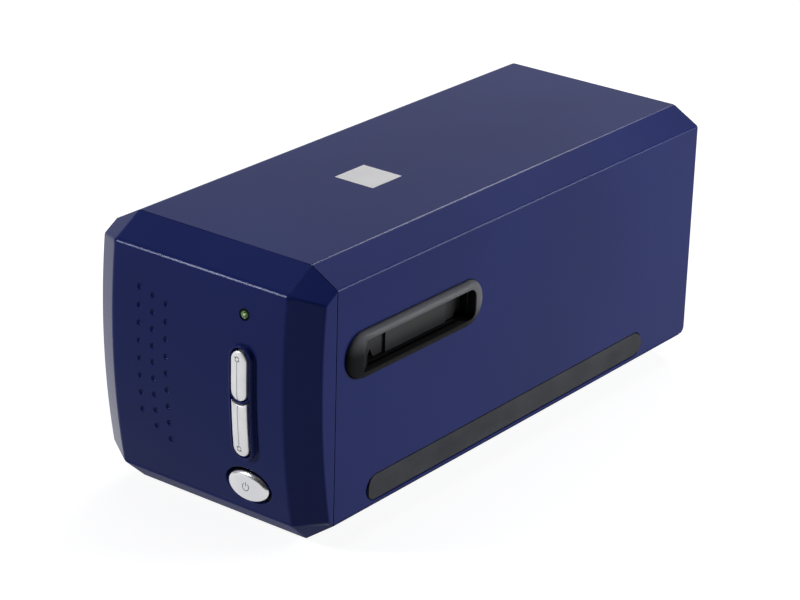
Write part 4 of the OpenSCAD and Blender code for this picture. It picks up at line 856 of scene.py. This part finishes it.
def build_power_button():
    """An oval key with a polished shoulder round a slightly domed face, and a plain standby sign."""
    def dome(u, v, h):
        drop = ((u - KEYS_X) ** 2 + (v - POWER_Z) ** 2) / (2 * POWER_BALL)
        return Vector((u, crown_y(POWER_Z) - h + drop, v))

    def ring(grow, scale=1.0):
        return [(KEYS_X + (u - KEYS_X) * scale, POWER_Z + (v - POWER_Z) * scale)
                for u, v in oval_outline(POWER[0] + 2 * grow, POWER[1] + 2 * grow)]

    levels = [(ring(g), h) for g, h in POWER_PROFILE]
    levels += [(ring(POWER_PROFILE[-1][0], s), POWER_PROUD) for s in (0.96, 0.8, 0.6, 0.4, 0.2, 0.05)]
    bm = bmesh.new()
    loft(bm, levels, dome)
    key = piece("power_button_cap", bm, "chrome_key", "power_key")
    even_normals(key, 50)
    settle(key, "power_button")
    keep_rear("power_button", "chrome_key", "power_key", POWER_STEM_Y)

    bm = bmesh.new()
    bar = [(KEYS_X + x, POWER_Z + z) for x, z in ((-0.15, 0.3), (0.15, 0.3), (0.15, 2.1), (-0.15, 2.1))]
    for shape in (arc_band(KEYS_X, POWER_Z, 1.75, 1.45, 125, 290 / 30, 31), bar):
        loft(bm, [(shape, POWER_PROUD - 0.1), (shape, POWER_PROUD + 0.02)], dome)
    settle(piece("standby_sign", bm, "chrome_key", "power_key", DARK_FILL))


def build_light():
    def turned(name, profile, slot, material=None, closed=False):
        bm = bmesh.new()
        loft(bm, [(circle_outline(KEYS_X, LIGHT_Z, r), h) for r, h in profile],
             lambda u, v, h: Vector((u, crown_y(LIGHT_Z) - h, v)), closed)
        return piece(name, bm, slot, material=material)

    low, rim = LENS_H
    lens = [(LIGHT_R, -8.0), (LIGHT_R, low), (LENS_R, low), (LENS_R, rim)]
    lens += [(LENS_R * math.cos(math.radians(a)), rim + LENS_CROWN * math.sin(math.radians(a)))
             for a in (20, 40, 60, 80)]
    settle(turned("light_lens", lens, "green_lens"), "light_pipe")
    # The black ring round the lens is painted shade in its counterbore
    settle(turned("light_seal", SHADE_RING, "electronics", BLACK_PAINTED_SHADE, closed=True))


# --------------------------------------------------------------------------------------------------
# Slot rings

def ring_outline(grow, front=0.0, rear=0.0, steps=28):
    r = RING[1] / 2 + grow
    low, high = RING_Y[0] + front + r - grow, RING_Y[1] - rear - r + grow
    return [(v, u) for u, v in slot_outline(SLOT_Z, low, high, r, steps)]


def throat_outline(y0, y1, half, front_r, rear_r, steps=8):
    """The film opening, with rounded corners at its front and its rear end."""
    points = []
    for y, z, r, start in ((y1, -half, rear_r, -90), (y1, half, rear_r, 0), (y0, half, front_r, 90),
                           (y0, -half, front_r, 180)):
        cy = y - math.copysign(r, y - SLOT_Y)
        cz = SLOT_Z + z - math.copysign(r, z)
        for i in range(steps + 1):
            a = math.radians(start + 90 * i / steps)
            points.append((cy + r * math.cos(a), cz + r * math.sin(a)))
    return points


def build_slot_ring(side):
    def sideways(u, v, h):
        return Vector((side * h, u, v))

    name = "right" if side > 0 else "left"
    node = f"slot_bezel_{name}"
    levels = [(ring_outline(g), SIDE_X + h) for g, h in RING_FOOT]
    for a in range(0, 91, 9):
        c = 1 - math.cos(math.radians(a))
        f, r, s = (k * c for k in RING_SLOPES)
        levels.append((ring_outline(-s, f, r), SIDE_X + 0.4 + (RING_PROUD - 0.4) * math.sin(math.radians(a))))
    bm = bmesh.new()
    loft(bm, levels, sideways)
    bead = piece(f"slot_ring_{name}", bm, "ring_plastic")

    half = THROAT[1] / 2
    deep = (SLOT_Y - THROAT[0] / 2, SLOT_Y + THROAT[0] / 2)
    crest = SIDE_X + RING_PROUD
    bore = throat_outline(*deep, half, 0.3, 0.3)
    mouth = [(bore, THROAT_END), (bore, SIDE_X - 1.4),
             (throat_outline(LIP[0] + 1.0, LIP[1] - 0.4, half, 0.4, 2.5), crest - 1.2)]
    for i in range(5):
        a = math.pi / 2 * i / 4
        g = LIP_EDGE * (1 - math.cos(a))
        mouth.append((throat_outline(LIP[0] - g, LIP[1] + g, half + g, 0.5 + g, 3.6 + g),
                      crest - 0.5 + LIP_EDGE * math.sin(a)))
    mouth.append((throat_outline(LIP[0] - LIP_EDGE, LIP[1] + LIP_EDGE, half + LIP_EDGE, 0.9, 4.0), crest + 2))
    bm = bmesh.new()
    loft(bm, mouth, sideways)
    cut(bead, piece("throat", bm, "ring_plastic"))
    even_normals(bead, 40)
    settle(bead, node)

    # A black sheet round the rear end of the opening: painted shade on the ring's inner wall
    bm = bmesh.new()
    rows = []
    for depth, end, r in ((crest - 0.45, LIP[1] - 0.06, 3.6), (crest - 1.3, LIP[1] - 0.6, 2.4),
                          (SIDE_X - 1.3, deep[1] - 0.15, 0.6), (THROAT_END + 0.5, deep[1] - 0.15, 0.6)):
        arc = throat_outline(LIP[0], end, half - 0.05, 0.3, r)[:18]
        run = [(end - SHADE_SHEET_LENGTH, arc[0][1]), *arc, (end - SHADE_SHEET_LENGTH, arc[-1][1])]
        rows.append([bm.verts.new(sideways(u, v, depth)) for u, v in run])
    for lower, upper in zip(rows, rows[1:]):
        for i in range(len(lower) - 1):
            bm.faces.new((lower[i], lower[i + 1], upper[i + 1], upper[i]))
    settle(piece(f"throat_liner_{name}", bm, "ring_plastic", material=BLACK_PAINTED_SHADE))

    # Collar, plate and hinge ears inside the cover
    bm = cad_form(node)
    behind(bm, at(side * (SIDE_X - 0.4), 0, 0), (side, 0, 0))
    settle(piece(f"slot_plate_{name}", bm, "ring_plastic", drawn=False))


# --------------------------------------------------------------------------------------------------
# Works inside the cover

def build_door_spring(side):
    name = "right" if side > 0 else "left"
    spring = grow(f"door_spring_coil_{name}", COIL, "steel", {
        "Start": (side * SPRING[0], FLAP_REAR_Y + 2 * SPRING_WIRE_R, SPRING[1]), "Radius": SPRING_R,
        "Wire Radius": SPRING_WIRE_R, "Length": SPRING_LENGTH, "Turns": 4.0, "Sides": 10}, smooth=60)
    settle(spring, f"door_spring_{name}")


def build_lead_screw():
    """A rolled screw: its core is thinner than the drawn rod by the height of the thread."""
    x, z = LEAD_SCREW
    bm = cad_form("lead_screw")
    core = LEAD_SCREW_R - THREAD_H
    axis = at(x, 0, z)
    for v in bm.verts:
        out = Vector((v.co.x - axis.x, 0, v.co.z - axis.z))
        if out.length > (LEAD_SCREW_R - 0.1) * MM:
            v.co -= out * (1 - core * MM / out.length)
    settle(piece("lead_screw_core", bm, "steel", "drive_screw", drawn=False), "lead_screw")
    y0, y1 = LEAD_SCREW_Y
    length = y1 - y0 - 2 * THREAD_H
    thread = grow("lead_screw_thread", COIL, "steel", {
        "Start": (x, y0 + THREAD_H, z), "Radius": core, "Wire Radius": THREAD_H, "Length": length,
        "Turns": length / THREAD_PITCH, "Sides": 8}, "drive_screw", smooth=60)
    settle(thread)


def build_chip_leads():
    """Gull-wing leads round the two chips on the main board."""
    bm = bmesh.new()
    loft(bm, [(LEAD_SECTION, bend) for bend in LEAD_BEND],
         lambda u, v, bend: Vector((bend[0], u, bend[1] + v)))
    lead = template("chip_lead", bm)
    for i, (x, y, size) in enumerate(CHIPS):
        settle(grow(f"chip_leads_{i}", LEADS, "steel", {"Item": lead, "Count": int(size) - 2, "Pitch": 1.0,
                                                        "Chip Size": size, "Place": (x, y, BOARD_TOP_Z)}))
    bpy.data.objects.remove(lead)


# --------------------------------------------------------------------------------------------------
# The rest of the object

build_front()
build_keys()
build_power_button()
build_light()
for side in (1, -1):
    build_slot_ring(side)
    build_door_spring(side)
build_lead_screw()
build_chip_leads()

soft_edged("main_cover", "blue_paint", width=0.35, long_edges=(200, 0.7))
soft_edged("base_pan", "base_plastic", width=0.35)
soft_edged("rear_panel", "base_plastic", width=0.25)
for name in ("right", "left"):
    soft_edged(f"dust_door_{name}", "door_plastic", f"door_{name}", width=0.2)
    soft_edged(f"side_strip_{name}", "rubber", width=0.35, segments=3)

slots = {entry["node"]: entry["material_slot"] for entry in frame["record"]["subparts"]}
for node, obj in frame["nodes"].items():
    obj.data.materials.clear()
    obj.data.materials.append(MATERIALS[slots[node]])

# --------------------------------------------------------------------------------------------------
# Floor, light and camera, in metres

WHITE = (1, 1, 1, 1)
ROOM_DEPTH = (-0.45, 0.85, 0.25)
AIM = Vector((0.0, 0.0, 0.05))

bm = bmesh.new()
bmesh.ops.create_grid(bm, x_segments=1, y_segments=1, size=6.0)
floor_mesh = bpy.data.meshes.new("floor")
bm.to_mesh(floor_mesh)
bm.free()
floor = bpy.data.objects.new("floor", floor_mesh)
bpy.context.scene.collection.objects.link(floor)


def shows_background(tree):
    """One for the rays that show what is behind the object: straight, mirrored or through glass."""
    path = add_node(tree, "ShaderNodeLightPath").outputs
    either = calc(tree, "MAXIMUM", path["Is Camera Ray"], path["Is Glossy Ray"])
    return calc(tree, "MAXIMUM", either, path["Is Transmission Ray"])


floor_paint = bpy.data.materials.new("white studio floor")
floor_paint.use_nodes = True
tree = floor_paint.node_tree
tree.nodes.clear()
matt = add_node(tree, "ShaderNodeBsdfDiffuse", {"Color": linear("#a6a7aa")})
# Far from the object, where the lamps' light thins out, the floor is as white as the backdrop
place = add_node(tree, "ShaderNodeTexCoord").outputs["Object"]
away = add_node(tree, "ShaderNodeVectorMath", {0: place}, operation="LENGTH").outputs["Value"]
whiter = span(tree, away, 0.7, 1.8, 0.86, 1.0, interpolation_type="SMOOTHSTEP")
lift = add_node(tree, "ShaderNodeEmission", {"Color": WHITE, "Strength": whiter})
lifted = add_node(tree, "ShaderNodeAddShader", {0: matt.outputs[0], 1: lift.outputs[0]})
shown = add_node(tree, "ShaderNodeMixShader", {0: shows_background(tree), 1: matt.outputs[0],
                                               2: lifted.outputs[0]})
add_node(tree, "ShaderNodeOutputMaterial", {"Surface": shown.outputs[0]})
floor_mesh.materials.append(floor_paint)

world = bpy.data.worlds.new("studio")
bpy.context.scene.world = world
world.use_nodes = True
tree = world.node_tree
tree.nodes.clear()
# The camera sees a white backdrop all round. In reflections it ends behind the object: the room before it is dim
way = add_node(tree, "ShaderNodeTexCoord").outputs["Generated"]
depth = add_node(tree, "ShaderNodeVectorMath", {0: way, 1: ROOM_DEPTH}, operation="DOT_PRODUCT").outputs["Value"]
share = span(tree, depth, -0.5, 0.6, 0.05, 0.6, interpolation_type="SMOOTHSTEP")
mirrored = add_node(tree, "ShaderNodeBackground", {"Color": WHITE, "Strength": share})
soft = add_node(tree, "ShaderNodeBackground", {"Color": linear("#e6e8ee"), "Strength": 0.024})
white = add_node(tree, "ShaderNodeBackground", {"Color": WHITE, "Strength": 1.0})
near = add_node(tree, "ShaderNodeMixShader", {0: shows_background(tree), 1: soft.outputs[0],
                                              2: mirrored.outputs[0]})
seen = add_node(tree, "ShaderNodeLightPath").outputs["Is Camera Ray"]
choose = add_node(tree, "ShaderNodeMixShader", {0: seen, 1: near.outputs[0], 2: white.outputs[0]})
add_node(tree, "ShaderNodeOutputWorld", {"Surface": choose.outputs[0]})


def softbox(name, place, size, power):
    """A rectangular studio lamp aimed at the object."""
    lamp = bpy.data.lights.new(name, "AREA")
    lamp.shape = "RECTANGLE"
    lamp.size, lamp.size_y = size
    lamp.energy = power
    obj = bpy.data.objects.new(name, lamp)
    bpy.context.scene.collection.objects.link(obj)
    obj.location = place
    obj.rotation_euler = (AIM - Vector(place)).to_track_quat("-Z", "Y").to_euler()


softbox("top softbox", (-0.2, 0.5, 1.3), (1.4, 1.4), 6.0)
softbox("rear right softbox", (1.3, 1.2, 0.5), (0.8, 1.0), 23)
softbox("low front left softbox", (-1.1, -1.3, 0.35), (0.8, 0.8), 1.7)
softbox("high front left softbox", (-1.15, -1.38, 0.97), (0.3, 0.3), 13.5)
softbox("high rear softbox", (-0.62, 1.52, 1.27), (0.4, 0.4), 4.5)

camera_data = bpy.data.cameras.new("camera")
camera_data.lens = 125.0
camera_data.sensor_width = 36.0
camera_data.clip_start = 0.05
camera = bpy.data.objects.new("camera", camera_data)
bpy.context.scene.collection.objects.link(camera)
right = Vector((0.78962, 0.61304, 0.02611))
up = Vector((-0.25637, 0.29095, 0.92175))
back = Vector((0.55747, -0.73453, 0.38690))
place = Vector((0.6568, -0.8685, 0.5123))
camera.matrix_world = Matrix([*zip(right, up, back, place), (0, 0, 0, 1)])
bpy.context.scene.camera = camera
bpy.context.scene.view_settings.view_transform = "Standard"
